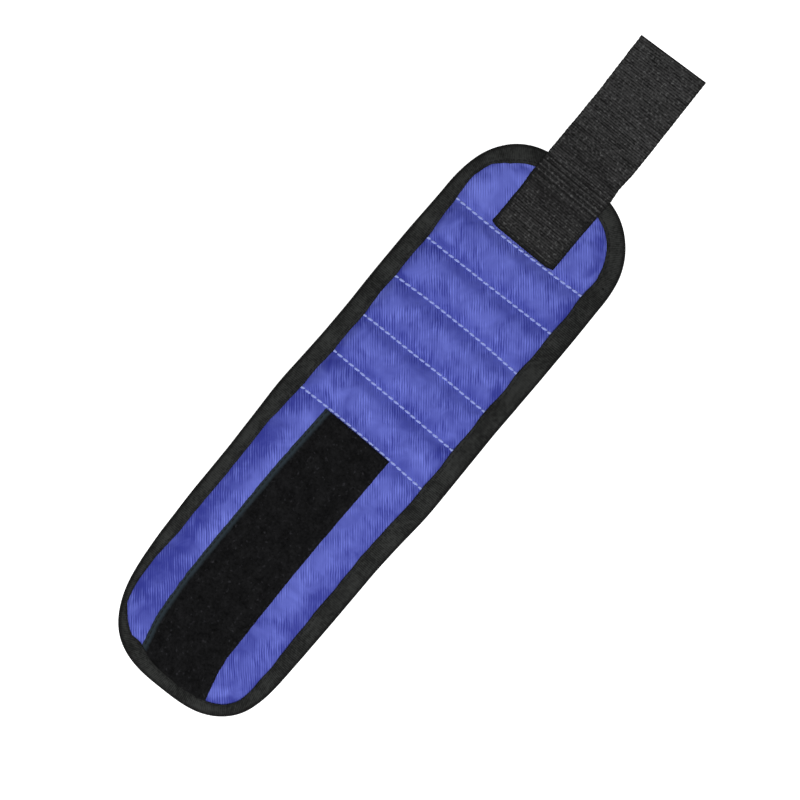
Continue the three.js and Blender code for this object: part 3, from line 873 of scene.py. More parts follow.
def strap_webbing(tree, colours):
    """Woven nylon strap: dark grey ribs across it, broken into dashes, with paler flecks of worn fibre."""
    lay = add(tree, "ShaderNodeUVMap", uv_map=LAY_MAP)
    # Weft ribs run across the strap. They are finer in such a strap, and are drawn 1.2 mm apart,
    # so that they show.
    drawn_out = add(tree, "ShaderNodeMapping", {"Vector": lay, "Scale": (1.0, 0.15, 1.0)})
    rib_inputs = {"Scale": WAVE_TURN / (1.2 * MM), "Distortion": 1.6, "Detail": 1.0, "Detail Scale": 0.8}
    ribs = add(tree, "ShaderNodeTexWave", {"Vector": drawn_out, **rib_inputs})
    # Dashes along the ribs are drawn 6 mm long and 1 mm wide.
    dash_inputs = {"Scale": 1 / (1.5 * MM), "Detail": 1.5, "Roughness": 0.6}
    dashes = add(tree, "ShaderNodeTexNoise", {"Vector": drawn_out, **dash_inputs})
    # Flecks of worn fibre are about 0.7 mm across.
    fleck_inputs = {"Scale": 1 / (1.3 * MM), "Detail": 1.0, "Roughness": 0.6}
    flecks = add(tree, "ShaderNodeTexNoise", {"Vector": lay, **fleck_inputs})
    # The attribute holds the strap's tone with its painted highlight and painted shade, and its darker rims.
    worn = add(tree, "ShaderNodeAttribute", attribute_name=TONE_AND_SHADE)
    broken = add(tree, "ShaderNodeMapRange", {"Value": dashes, "From Min": 0.3, "From Max": 0.7})
    grain = add(tree, "ShaderNodeMapRange", {"Value": flecks, "From Min": 0.3, "From Max": 0.7})
    thread = add(tree, "ShaderNodeMix", {"Factor": 0.5, "A": ribs.outputs["Fac"], "B": broken})
    weave = add(tree, "ShaderNodeMix", {"Factor": 0.35, "A": thread, "B": grain})
    weave_range = {"From Min": 0.2, "From Max": 0.8, "To Max": 2.0}
    contrast = add(tree, "ShaderNodeMapRange", {"Value": weave, **weave_range})
    share_inputs = {0: contrast, 1: worn.outputs["Fac"]}
    share = add(tree, "ShaderNodeMath", share_inputs, operation="MULTIPLY", use_clamp=True)
    ends = {"A": shade(colours.strap, 0.12), "B": shade(colours.strap, 2.4)}
    cloth = add(tree, "ShaderNodeMix", {"Factor": share, **ends}, data_type="RGBA")
    bright = add(tree, "ShaderNodeMapRange", {"Value": flecks, "From Min": 0.58, "From Max": 0.74})
    lit = add(tree, "ShaderNodeMath", {0: bright, 1: share}, operation="MULTIPLY")
    fleck_mix = {"Factor": lit, "A": cloth, "B": shade(colours.strap_fleck)}
    return {
        "Base Color": add(tree, "ShaderNodeMix", fleck_mix, data_type="RGBA"),
        "Normal": add(tree, "ShaderNodeBump", {"Height": thread, "Distance": 0.2 * MM, "Strength": 0.6}),
        "Roughness": 0.8,
        "Specular IOR Level": 0.2,
        "Sheen Weight": 0.03,
    }


def spacer_mesh(tree, colours):
    """Knitted polyester spacer mesh: a soft black knit with rows of small holes that let air through."""
    lay = add(tree, "ShaderNodeUVMap", uv_map=LAY_MAP)
    # Holes 2.4 mm apart sit where three sets of waves, a third of a turn apart, all dip.
    waves = []
    for angle in (0.0, 60.0, 120.0):
        turned = add(tree, "ShaderNodeMapping", {"Vector": lay, "Rotation": (0, 0, math.radians(angle))})
        wave = add(tree, "ShaderNodeTexWave", {"Vector": turned, "Scale": WAVE_TURN / (2.4 * MM)})
        waves.append(wave.outputs["Fac"])
    pair = add(tree, "ShaderNodeMath", {0: waves[0], 1: waves[1]}, operation="ADD")
    every = add(tree, "ShaderNodeMath", {0: pair, 1: waves[2]}, operation="ADD")
    # The holes are painted dark, as the shade inside them.
    knit = add(tree, "ShaderNodeMapRange", {"Value": every, "From Min": 0.5, "From Max": 1.1})
    ends = {"A": shade(colours.lining, 0.15), "B": shade(colours.lining)}
    return {
        "Base Color": add(tree, "ShaderNodeMix", {"Factor": knit, **ends}, data_type="RGBA"),
        "Normal": add(tree, "ShaderNodeBump", {"Height": knit, "Distance": 0.5 * MM, "Strength": 0.8}),
        "Roughness": 0.85,
        "Specular IOR Level": 0.2,
        "Sheen Weight": 0.1,
    }


def spun_thread(tree, colour):
    """Spun polyester thread: a soft sheen over a fine twist."""
    place = add(tree, "ShaderNodeTexCoord").outputs["Object"]
    # The twist turns every 0.5 mm.
    twist_inputs = {"Vector": place, "Scale": WAVE_TURN / (0.5 * MM), "Distortion": 0.8}
    twist = add(tree, "ShaderNodeTexWave", twist_inputs, bands_direction="DIAGONAL").outputs["Fac"]
    ends = {"A": shade(colour, 0.72), "B": shade(colour)}
    return {
        "Base Color": add(tree, "ShaderNodeMix", {"Factor": twist, **ends}, data_type="RGBA"),
        "Normal": add(tree, "ShaderNodeBump", {"Height": twist, "Distance": 0.05 * MM, "Strength": 0.4}),
        "Roughness": 0.6,
        "Specular IOR Level": 0.2,
        "Sheen Weight": 0.03,
    }


def moulded_hooks(tree, colours):
    """Moulded nylon hook tape: a slightly glossy black with a faint grain from the mould."""
    place = add(tree, "ShaderNodeTexCoord").outputs["Object"]
    # The grain is about 0.4 mm across.
    grain = add(tree, "ShaderNodeTexNoise", {"Vector": place, "Scale": 1 / (0.7 * MM), "Detail": 2.0})
    ends = {"A": shade(colours.hooks, 0.7), "B": shade(colours.hooks)}
    return {
        "Base Color": add(tree, "ShaderNodeMix", {"Factor": grain, **ends}, data_type="RGBA"),
        "Roughness": add(tree, "ShaderNodeMapRange", {"Value": grain, "To Min": 0.35, "To Max": 0.55}),
        "IOR": 1.53,
    }


def nickel_plating(tree, colours):
    """Nickel plating on sintered magnets: a warm grey mirror, dulled by fine tumbling marks."""
    place = add(tree, "ShaderNodeTexCoord").outputs["Object"]
    # The marks are about 0.3 mm across.
    mark_inputs = {"Scale": 1 / (0.6 * MM), "Detail": 4.0, "Roughness": 0.7}
    marks = add(tree, "ShaderNodeTexNoise", {"Vector": place, **mark_inputs})
    return {
        "Base Color": shade(colours.plating),
        "Metallic": 1.0,
        "Roughness": add(tree, "ShaderNodeMapRange", {"Value": marks, "To Min": 0.2, "To Max": 0.4}),
        "Normal": add(tree, "ShaderNodeBump", {"Height": marks, "Distance": 0.02 * MM, "Strength": 0.3}),
    }


def studio_paper(tree, colours):
    """White studio paper: an even, matt white that glows a little, so that no edge of the floor shows."""
    return {
        "Base Color": shade(linear("#f3f3f3")),
        "Roughness": 0.9,
        "Emission Color": shade(linear("#ffffff")),
        "Emission Strength": 0.85,
    }


FINISHES = {
    "Polyester twill cloth": twill_cloth,
    "Polyester binding tape": binding_tape,
    "Brushed nylon loop tape": loop_tape,
    "Nylon nap fibres": nap_fibres,
    "Woven nylon strap": strap_webbing,
    "Polyester spacer mesh": spacer_mesh,
    "Pale polyester thread": lambda tree, colours: spun_thread(tree, colours.thread),
    "Black polyester thread": lambda tree, colours: spun_thread(tree, colours.black_thread),
    "Moulded nylon hooks": moulded_hooks,
    "Nickel plating": nickel_plating,
    "White studio paper": studio_paper,
}


def finish_of(name):
    """The material of a finish, made when it is first asked for. Its maker gives the shader's inputs."""
    if name in bpy.data.materials:
        return bpy.data.materials[name]
    material = bpy.data.materials.new(name)
    material.use_nodes = True
    tree = material.node_tree
    tree.nodes.clear()
    inputs = FINISHES[name](tree, bpy.context.scene.wristband_colours)
    shader = add(tree, "ShaderNodeBsdfPrincipled", inputs)
    add(tree, "ShaderNodeOutputMaterial", {"Surface": shader})
    return material


def start_tree(name, *sizes):
    """A Geometry Nodes tree with the named sizes as inputs, and with a seed and a material."""
    tree = bpy.data.node_groups.new(name, "GeometryNodeTree")
    kinds = {"Geometry": "Geometry", **dict.fromkeys(sizes, "Float"), "Seed": "Int", "Material": "Material"}
    for socket, kind in kinds.items():
        tree.interface.new_socket(socket, in_out="INPUT", socket_type=f"NodeSocket{kind}")
    tree.interface.new_socket("Geometry", in_out="OUTPUT", socket_type="NodeSocketGeometry")
    return tree, add(tree, "NodeGroupInput").outputs


def end_tree(tree, given, instances):
    """Realizes the instances, smooths them and gives them the material."""
    real = add(tree, "GeometryNodeRealizeInstances", {"Geometry": instances})
    smooth = add(tree, "GeometryNodeSetShadeSmooth", {"Geometry": real})
    painted = add(tree, "GeometryNodeSetMaterial", {"Geometry": smooth, "Material": given["Material"]})
    add(tree, "NodeGroupOutput", {"Geometry": painted})
    return tree


def stitch_rows(name):
    """Lock stitches along lines: plump beads of thread that dip into the cloth at both ends."""
    tree, given = start_tree(name, "Pitch", "Length", "Width", "Height", "Tilt", "Sway")
    lines = add(tree, "GeometryNodeMeshToCurve", {"Mesh": given["Geometry"]})
    places = add(tree, "GeometryNodeResampleCurve", {"Curve": lines, "Length": given["Pitch"]}, mode="LENGTH")
    along = add(tree, "GeometryNodeInputTangent")
    aligned = add(tree, "FunctionNodeAlignRotationToVector", {"Vector": along}, axis="X", pivot_axis="Z")
    least = add(tree, "ShaderNodeMath", {0: given["Tilt"], 1: given["Sway"]}, operation="SUBTRACT")
    most = add(tree, "ShaderNodeMath", {0: given["Tilt"], 1: given["Sway"]}, operation="ADD")
    lean = add(tree, "FunctionNodeRandomValue", {"Min": least, "Max": most, "Seed": given["Seed"]})
    angles = add(tree, "ShaderNodeCombineXYZ", {"Z": lean})
    turn = add(tree, "FunctionNodeEulerToRotation", {"Euler": angles})
    turn_inputs = {"Rotation": aligned, "Rotate By": turn}
    rotation = add(tree, "FunctionNodeRotateRotation", turn_inputs, rotation_space="LOCAL")
    bead = add(tree, "GeometryNodeMeshUVSphere", {"Segments": 8, "Rings": 6, "Radius": 0.5})
    sizes = {"X": given["Length"], "Y": given["Width"], "Z": given["Height"]}
    size = add(tree, "ShaderNodeCombineXYZ", sizes)
    stitch = add(tree, "GeometryNodeTransform", {"Geometry": bead, "Scale": size})
    stitch_inputs = {"Points": places, "Instance": stitch, "Rotation": rotation}
    return end_tree(tree, given, add(tree, "GeometryNodeInstanceOnPoints", stitch_inputs))


def nap_loops(name):
    """Fibre loops scattered on a surface, leaning every way."""
    tree, given = start_tree(name, "Density", "Radius", "Fibre")
    place_inputs = {"Mesh": given["Geometry"], "Density": given["Density"], "Seed": given["Seed"]}
    places = add(tree, "GeometryNodeDistributePointsOnFaces", place_inputs)
    arch_inputs = {"Resolution": 6, "Radius": given["Radius"], "Start Angle": -0.5, "Sweep Angle": 4.1}
    arch = add(tree, "GeometryNodeCurveArc", arch_inputs)
    fibre = add(tree, "GeometryNodeCurvePrimitiveCircle", {"Resolution": 3, "Radius": given["Fibre"]})
    tube_inputs = {"Curve": arch, "Profile Curve": fibre, "Fill Caps": True}
    tube = add(tree, "GeometryNodeCurveToMesh", tube_inputs)
    upright = add(tree, "GeometryNodeTransform", {"Geometry": tube, "Rotation": (math.pi / 2, 0, 0)})
    lean_range = {"Min": (-0.6, -0.6, 0.0), "Max": (0.6, 0.6, 2 * math.pi), "Seed": given["Seed"]}
    lean = add(tree, "FunctionNodeRandomValue", lean_range, data_type="FLOAT_VECTOR")
    size = add(tree, "FunctionNodeRandomValue", {"Min": 0.65, "Max": 1.3, "Seed": given["Seed"]})
    loop_inputs = {"Points": places, "Instance": upright, "Rotation": lean, "Scale": size}
    return end_tree(tree, given, add(tree, "GeometryNodeInstanceOnPoints", loop_inputs))


def hook_rows(name):
    """A hook that hangs from each point, turned one way or the other."""
    tree, given = start_tree(name, "Height", "Thickness")
    crook_inputs = {"Resolution": 6, "Start": (0, 0, 0), "Middle": (0.05, 0, -1.9), "End": (0.75, 0, -0.45)}
    crook = add(tree, "GeometryNodeCurveQuadraticBezier", crook_inputs)
    size = add(tree, "ShaderNodeCombineXYZ", dict.fromkeys("XYZ", given["Height"]))
    scaled = add(tree, "GeometryNodeTransform", {"Geometry": crook, "Scale": size})
    stem = add(tree, "GeometryNodeCurvePrimitiveCircle", {"Resolution": 4, "Radius": given["Thickness"]})
    hook_inputs = {"Curve": scaled, "Profile Curve": stem, "Fill Caps": True}
    hook = add(tree, "GeometryNodeCurveToMesh", hook_inputs)
    side_inputs = {"Min": 0, "Max": 1, "Seed": given["Seed"]}
    side = add(tree, "FunctionNodeRandomValue", side_inputs, data_type="INT")
    angle = add(tree, "ShaderNodeMath", {0: side, 1: math.pi}, operation="MULTIPLY")
    turn = add(tree, "ShaderNodeCombineXYZ", {"Z": angle})
    row_inputs = {"Points": given["Geometry"], "Instance": hook, "Rotation": turn}
    return end_tree(tree, given, add(tree, "GeometryNodeInstanceOnPoints", row_inputs))


TREES = {"Stitch rows": stitch_rows, "Nap loops": nap_loops, "Hook rows": hook_rows}


def grow(name, start, kind, finish, inputs):
    """Runs a tree on a starting mesh, and keeps the result as a plain mesh."""
    tree = bpy.data.node_groups.get(kind) or TREES[kind](kind)
    obj = make_object(name, start)
    modifier = obj.modifiers.new("Grow", "NODES")
    modifier.node_group = tree
    sockets = {
        item.name: item.identifier
        for item in tree.interface.items_tree
        if item.item_type == "SOCKET" and item.in_out == "INPUT"
    }
    for key, value in {**inputs, "Material": finish_of(finish)}.items():
        modifier[sockets[key]] = value
    grown = evaluated_mesh(obj)
    obj.modifiers.remove(modifier)
    obj.data = grown
    bpy.data.meshes.remove(start)
    grown.name = name
    if not grown.polygons:
        raise RuntimeError(f"{name} came out empty")
    return obj


def line_mesh(name, lines):
    """Edges along each line of points, in metres."""
    points, edges = [], []
    for line in lines:
        first = len(points)
        points += (line * MM).tolist()
        edges += [(first + place, first + place + 1) for place in range(len(line) - 1)]
    mesh = bpy.data.meshes.new(name)
    mesh.from_pydata(points, edges, [])
    return mesh


def sew(name, lines, kind, seed, tilt=0.0, width=1.0, height=0.8):
    """Rows of stitches along lines, as on a seam or an edge. Width and height are shares of the thread."""
    sewing = bpy.context.scene.wristband_sewing
    pitch, length, thread = (getattr(sewing, f"{kind}_{size}") for size in ("pitch", "length", "thread"))
    inputs = {"Pitch": pitch, "Length": length, "Width": width * thread, "Height": height * thread}
    inputs |= {"Tilt": tilt, "Sway": STITCH_SWAY, "Seed": seed}
    return grow(name, line_mesh(name, lines), "Stitch rows", THREADS[kind], inputs)


def settle(points, quads, pinned, slack, filling):
    """Lets the cloth settle over its filling with Blender's cloth simulation. It is held where it is sewn."""
    mesh = bpy.data.meshes.new("cloth_settling")
    mesh.from_pydata((points * SIM_SCALE).tolist(), [], quads.tolist())
    obj = make_object("cloth_settling", mesh)
    group = obj.vertex_groups.new(name="sewn")
    group.add(np.flatnonzero(pinned).tolist(), 1.0, "REPLACE")
    modifier = obj.modifiers.new("Cloth", "CLOTH")
    cloth = modifier.settings
    for key, value in CLOTH_SETTINGS.items():
        setattr(cloth, key, value)
    cloth.vertex_group_mass = group.name
    cloth.uniform_pressure_force = filling
    cloth.shrink_min = -slack
    cloth.effector_weights.gravity = 0
    modifier.collision_settings.use_collision = False
    scene = bpy.context.scene
    for number in range(1, SIM_FRAMES + 1):
        scene.frame_set(number)
    result = evaluated_mesh(obj)
    settled = read(result.vertices, "co", 3).astype(float) / SIM_SCALE
    bpy.data.objects.remove(obj)
    bpy.data.meshes.remove(mesh)
    bpy.data.meshes.remove(result)
    scene.frame_set(1)
    return points + np.clip(settled - points, -MAX_SETTLE, MAX_SETTLE)


class WRISTBAND_OT_stage(bpy.types.Operator):
    """Sets the camera of the photograph, a white floor and soft lamps"""

    bl_idname = "wristband.stage"
    bl_label = "Stage"

    def execute(self, context):
        scene = context.scene
        stage = scene.wristband_stage
        camera = bpy.data.cameras.new("Camera")
        camera.lens = stage.lens
        camera.sensor_width = SENSOR_WIDTH
        camera.clip_end = CLIP_END
        eye = bpy.data.objects.new("Camera", camera)
        distance = stage.view_width * stage.lens / SENSOR_WIDTH
        eye.location = (stage.aim_x, stage.aim_y, distance + BINDING_TOP * MM)
        eye.rotation_euler = (0, 0, PHOTO_TURN)
        scene.collection.objects.link(eye)
        scene.camera = eye

        corners = FLOOR_HALF * np.array([(-1, -1), (1, -1), (1, 1), (-1, 1)])
        points = points_at(*corners.T, -stage.floor_drop) / MM
        sheet = make_mesh("floor", Patch(points, np.array([[0, 1, 2, 3]]), corners))
        make_object("floor", sheet, "White studio paper")

        for name, place, power, width in (
            ("Key lamp", Vector(KEY_PLACE), stage.key_power, KEY_WIDTH),
            ("Top lamp", Vector(TOP_PLACE), stage.top_power, TOP_WIDTH),
        ):
            lamp = bpy.data.lights.new(name, "AREA")
            lamp.energy = power
            lamp.shape = "DISK"
            lamp.size = width
            holder = bpy.data.objects.new(name, lamp)
            holder.location = place
            holder.rotation_euler = (-place).to_track_quat("-Z", "Y").to_euler()
            scene.collection.objects.link(holder)

        world = bpy.data.worlds.new("White studio")
        world.use_nodes = True
        sky = world.node_tree.nodes["Background"]
        sky.inputs["Color"].default_value = (1, 1, 1, 1)
        sky.inputs["Strength"].default_value = stage.sky
        scene.world = world
        scene.view_settings.view_transform = "Standard"
        return {"FINISHED"}


def cloth_grid(step, rows):
    """A grid inside the binding: x, y, the distance to the nearest seam, and the depth inside the edge."""
    ends = [float(end_x(CLOTH_END_HALF, CLOTH_INSET, end)) for end in (LOOP_END, STRAP_END)]
    columns = spaced(sorted([*ends, *SEAM_X, *CUTS]), step)
    x = np.repeat(columns[:, None], rows, 1)
    y = half_width(columns, CLOTH_INSET)[:, None] * np.linspace(-1, 1, rows)
    to_seam = np.min([np.abs(x - seam) for seam in SEAM_X], axis=0)
    return x, y, to_seam, depth(x, y)


def face_grid():
    """The face cloth before it settles, and where it is sewn down."""
    x, y, to_seam, inset = cloth_grid(CLOTH_STEP, CLOTH_ROWS)
    covered = binding_width(x, y) + BINDING_GAP
    edge = crown((inset - covered) / EDGE_ROOM)
    lift = crown(to_seam / POCKET_HALF)
    beside_tape = np.maximum(y - TAPE_HIGH.y, TAPE_LOW.y - y)
    beside_strap = np.abs(y) - STRAP_HALF
    puff = STRIP_RISE * crown(np.where(x < SEAM_X[0], beside_tape, beside_strap) / STRIP_ROOM) * edge
    rise = BASE_TOP - SEAM_TOP
    end_height = SEAM_TOP + rise * ease(to_seam / SEAM_RISE) + puff * ease(to_seam / STRIP_FADE)
    pocket_height = SEAM_TOP + rise * lift + POCKET_RISE * lift * edge
    z = np.where((x >= SEAM_X[0]) & (x <= SEAM_X[-1]), pocket_height, end_height)
    under_tape = (x < TAPE_HIGH.x) & (beside_tape < -SEWN_MARGIN)
    under_root = (x > STRAP_ROOT_LOW.x) & (beside_strap < -SEWN_MARGIN)
    free = (to_seam > SEWN_LINE) & (inset > covered) & ~under_tape & ~under_root
    points = points_at(x, y, z + np.where(free, uneven("cloth", x, y), 0))
    return Patch(points, grid_quads(*x.shape), points[:, :2]), ~free.ravel()


def rest_on_magnets(points):
    """Keeps the cloth just above the magnets, with soft edges round them."""
    x, y, z = laid(points).T
    for name in MAGNETS:
        low, high = (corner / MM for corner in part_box(name))
        away = np.max([low.x - x, x - high.x, low.y - y, y - high.y], axis=0)
        floor = high.z + MAGNET_CLEARANCE - MAGNET_FALL * np.maximum(away + MAGNET_ROUNDING, 0) ** 2
        z = floor + MAGNET_SOFTNESS * np.logaddexp(0, (z - floor) / MAGNET_SOFTNESS)
    return np.column_stack([points[:, :2], z])


def painted_cloth_shade(x, y):
    """How pale the cloth is painted, 0 in the deepest creases and 1 on the flat: painted shade after and
    before seams, beside the binding and in creases, painted light and shade on the loop end's strips, and
    more than 1 on the strap end and towards the loop end's tip.
    """
    patchy = 1 + uneven("shade patches", x, y)
    to_binding = depth(x, y) - binding_width(x, y)
    shade_start, shade_run = BINDING_SHADE
    tone = ease(to_binding, shade_start, shade_run * patchy)
    for way, (share, start, run) in ((1, AFTER_SEAM), (-1, BEFORE_SEAM)):
        past = np.min([np.where(way * (x - seam) >= 0, way * (x - seam), np.inf) for seam in SEAM_X], axis=0)
        tone = tone * (1 - share * patchy * (1 - ease(past, start, run)))
    crease = ease(uneven("creases", x, y), *CREASE_DEPTH) * (1 - ease(to_binding, *CREASE_REACH))
    tone = tone * (1 - CREASE_SHADE * crease)

    far = ease(-x, *STRIP_FALL)
    left, right = (
        low - low_fall * far + (rise - rise_fall * far) * ease(to_binding, start, STRIP_RUN)
        for low, low_fall, rise, rise_fall, start in (STRIP_LEFT, STRIP_RIGHT)
    )
    on_loop_end = np.where(y > 0, left, right)
    on_loop_end = on_loop_end + TIP_SHARE * ease(-x, *TIP_REACH) * (TIP_TONE - on_loop_end)
    on_strap_end = np.where(y > 0, STRAP_END_LEFT, STRAP_END_RIGHT)
    return tone * np.where(x < SEAM_X[0], on_loop_end, np.where(x > SEAM_X[-1], on_strap_end, 1.0))


class WRISTBAND_OT_face_cloth(bpy.types.Operator):
    """Lays the blue face cloth over the magnets and padding, and lets it settle between its seams"""

    bl_idname = "wristband.face_cloth"
    bl_label = "Face cloth"

    def execute(self, context):
        sewing = context.scene.wristband_sewing
        cloth, pinned = face_grid()
        points = cloth.points
        points = settle(points, cloth.quads, pinned, sewing.slack, sewing.filling)
        cloth = subdivided(cloth._replace(points=rest_on_magnets(points)))
        wear = painted_cloth_shade(*cloth.points.T[:2])
        cloth = cloth._replace(wear=wear, back=cloth.points - (0, 0, CLOTH_WALL))
        nodes = layer_nodes("cover", "base")
        lay_in_stretches("face_cloth", cloth, "Polyester twill cloth", nodes)
        return {"FINISHED"}


class WRISTBAND_OT_lining(bpy.types.Operator):
    """Lays the spacer-mesh lining on the skin side, pinched along the seams"""

    bl_idname = "wristband.lining"
    bl_label = "Lining"

    def execute(self, context):
        x, y, to_seam, inset = cloth_grid(LINING_STEP, LINING_ROWS)
        pinch = PINCH * (1 - ease(to_seam / PINCH_REACH))
        tuck = TUCK * (1 - ease(inset, LOWER_LEG, TUCK_RUN))
        points = points_at(x, y, np.maximum(pinch, tuck) + np.abs(uneven("lining", x, y)))
        back = points_at(x, y, LINING_TOP - pinch)
        lining = Patch(points, grid_quads(*x.shape)[:, ::-1], points[:, :2], back=back)
        nodes = layer_nodes("lining")
        lay_in_stretches("lining", lining, "Polyester spacer mesh", nodes)
        return {"FINISHED"}


def rim_stations():
    """Stations round the band: the round end each lies on or None, its side, and its turn there or its x."""
    quarter = np.linspace(0, np.pi / 2, ROUND_SAMPLES)
    by_width = np.arccos(np.linspace(0, 1, ROUND_SAMPLES) ** (ROUND_POWER / 2))
    turns = np.sort(np.concatenate([quarter, by_width]))
    turns_of = {}
    for end in (STRAP_END, LOOP_END):
        out = end.half * np.cos(turns) ** (2 / ROUND_POWER)
        run = travelled(np.column_stack([end.length * np.sin(turns), out]))
        count = max(2, round(run[-1] / BINDING_STEP))
        turns_of[end] = np.interp(np.linspace(0, run[-1], count + 1), run, turns)
    breaks = sorted(x for x in [*CUTS, *SEAM_X] if x < STRAP_END.centre)
    straight = spaced([LOOP_END.centre, *breaks, STRAP_END.centre], BINDING_STEP)
    edges = (
        (None, -1, straight[:-1]),
        (STRAP_END, -1, turns_of[STRAP_END][:-1]),
        (STRAP_END, 1, turns_of[STRAP_END][:0:-1]),
        (None, 1, straight[:0:-1]),
        (LOOP_END, 1, turns_of[LOOP_END][:-1]),
        (LOOP_END, -1, turns_of[LOOP_END][::-1]),
    )
    return [(end, side, place) for end, side, places in edges for place in places]


def rim_point(station, inset):
    """Where a station lies at a distance inside the outer edge."""
    end, side, place = station
    if end is None:
        return place, side * float(half_width(place, inset))
    out = max(0.0, math.cos(place)) ** (2 / ROUND_POWER)
    return end.centre + end.way * (end.length - inset) * math.sin(place), side * (end.half - inset) * out


def binding_section(width):
    """The binding's section: upper leg from its lip outwards, the fold, the lower leg, and back inside."""
    leg = width - FOLD_INSET
    middle = BINDING_TOP / 2
    points = [(FOLD_INSET + share * leg, BINDING_TOP + rise) for share, rise in UPPER_SECTION]
    for angle in np.linspace(0, np.pi, FOLD_POINTS):
        out = FOLD_RADIUS * FOLD_BULGE * math.sin(angle)
        points.append((FOLD_INSET - out, middle + FOLD_RADIUS * math.cos(angle)))
    points += [(share * LOWER_LEG, z) for share, z in LOWER_SECTION]
    ceiling = BINDING_TOP - BINDING_INNER
    points += [(FOLD_RADIUS, BINDING_INNER + INNER_SLOPE), (FOLD_RADIUS - FOLD_WALL, middle)]
    points += [(FOLD_RADIUS, ceiling - INNER_SLOPE), (FOLD_INSET + INNER_SHARE * leg, ceiling)]
    return points


class WRISTBAND_OT_binding(bpy.types.Operator):
    """Folds the black binding round the whole edge and sews it down"""

    bl_idname = "wristband.binding"
    bl_label = "Binding"

    def execute(self, context):
        stations = rim_stations()
        outer = np.array([rim_point(station, 0) for station in stations])
        sway, puff, edge = (uneven(f"binding {what}", *outer.T) for what in ("width", "top", "edge"))
        points, lay, wear, upper_row, lower_row = [], [], [], [], []
        for number, (station, run) in enumerate(zip(stations, travelled(outer))):
            x = outer[number, 0]
            width = float(binding_width(x, station[1])) + sway[number]
            if SEAM_X[0] < x < SEAM_X[-1]:
                width += SCALLOP * math.cos(math.pi * (x - SEAM_X[0]) / POCKET_HALF)
            section = binding_section(width)
            for (inset, z), path in zip(section, travelled(section)):
                shift = edge[number] if inset < FOLD_INSET else 0
                rise = puff[number] if z > BINDING_TOP - UPPER_DEPTH else 0
                points.append((*rim_point(station, inset - shift), z + rise))
                lay.append((run, path))
                # Painted shade: darker towards the outer fold and beside the lip, and darker still on the
                # lower half.
                lip = LIP_SHADE_TONE + (1 - LIP_SHADE_TONE) * ease((width - inset) / LIP_SHADE)
                wear.append(ease(inset, *RIM_SHADE) * lip if z > BINDING_TOP / 2 else LOWER_HALF_SHADE)
            stitch = FOLD_INSET + STITCH_SHARE * (width - FOLD_INSET)
            upper_row.append((*rim_point(station, stitch), BINDING_TOP - STITCH_SINK + puff[number]))
            lower_row.append((*rim_point(station, LOWER_STITCH_SHARE * LOWER_LEG), LOWER_STITCH_Z))
        quads = grid_quads(len(stations), len(section), closed=True)[:, ::-1]
        binding = Patch(np.array(points), quads, np.array(lay), np.array(wear))
        nodes = layer_nodes("binding", "binding_left", "binding_right")
        lay_in_stretches("binding", binding, "Polyester binding tape", nodes)

        for stretch, place in enumerate(STRETCHES):
            lines = []
            for row in (np.array(upper_row), np.array(lower_row)):
                inside = np.searchsorted(CUTS, row[:, 0]) == stretch
                ends = np.flatnonzero(np.diff([0, *inside, 0])).reshape(-1, 2)
                lines += [laid(row[first:last]) for first, last in ends if last - first > LEAST_STITCHED]
            stitches = sew(f"binding_stitches_{place}", lines, "edge", SEEDS["binding"] + stretch)
            move_with_band(stitches, stretch)
        return {"FINISHED"}


class WRISTBAND_OT_seams(bpy.types.Operator):
    """Sews the six seams with pale thread, on the face and on the skin side"""

    bl_idname = "wristband.seams"
    bl_label = "Seam stitches"

    def execute(self, context):
        for number, x in enumerate(SEAM_X, start=1):
            left, right = (float(half_width(x, 0) - binding_width(x, side)) - SEAM_GAP for side in (1, -1))
            y = np.linspace(-right, left, SEAM_POINTS)
            wandering = x + uneven("seam", x, y)
            lines = [laid(points_at(wandering, y, z)) for z in SEAM_STITCH_HEIGHTS]
            seed = SEEDS["seams"] + number
            stitches = sew(f"seam_stitches_{number}", lines, "seam", seed, tilt=0.1, height=0.75)
            move_with_band(stitches, number)
        return {"FINISHED"}


def panel_y(x, y):
    """Where the loop panel's point at y lies, because neither edge of the panel lies quite straight."""
    low, high = between(PANEL_RIGHT, x), between(PANEL_LEFT, x)
    return low + (y - TAPE_LOW.y) / (TAPE_HIGH.y - TAPE_LOW.y) * (high - low)


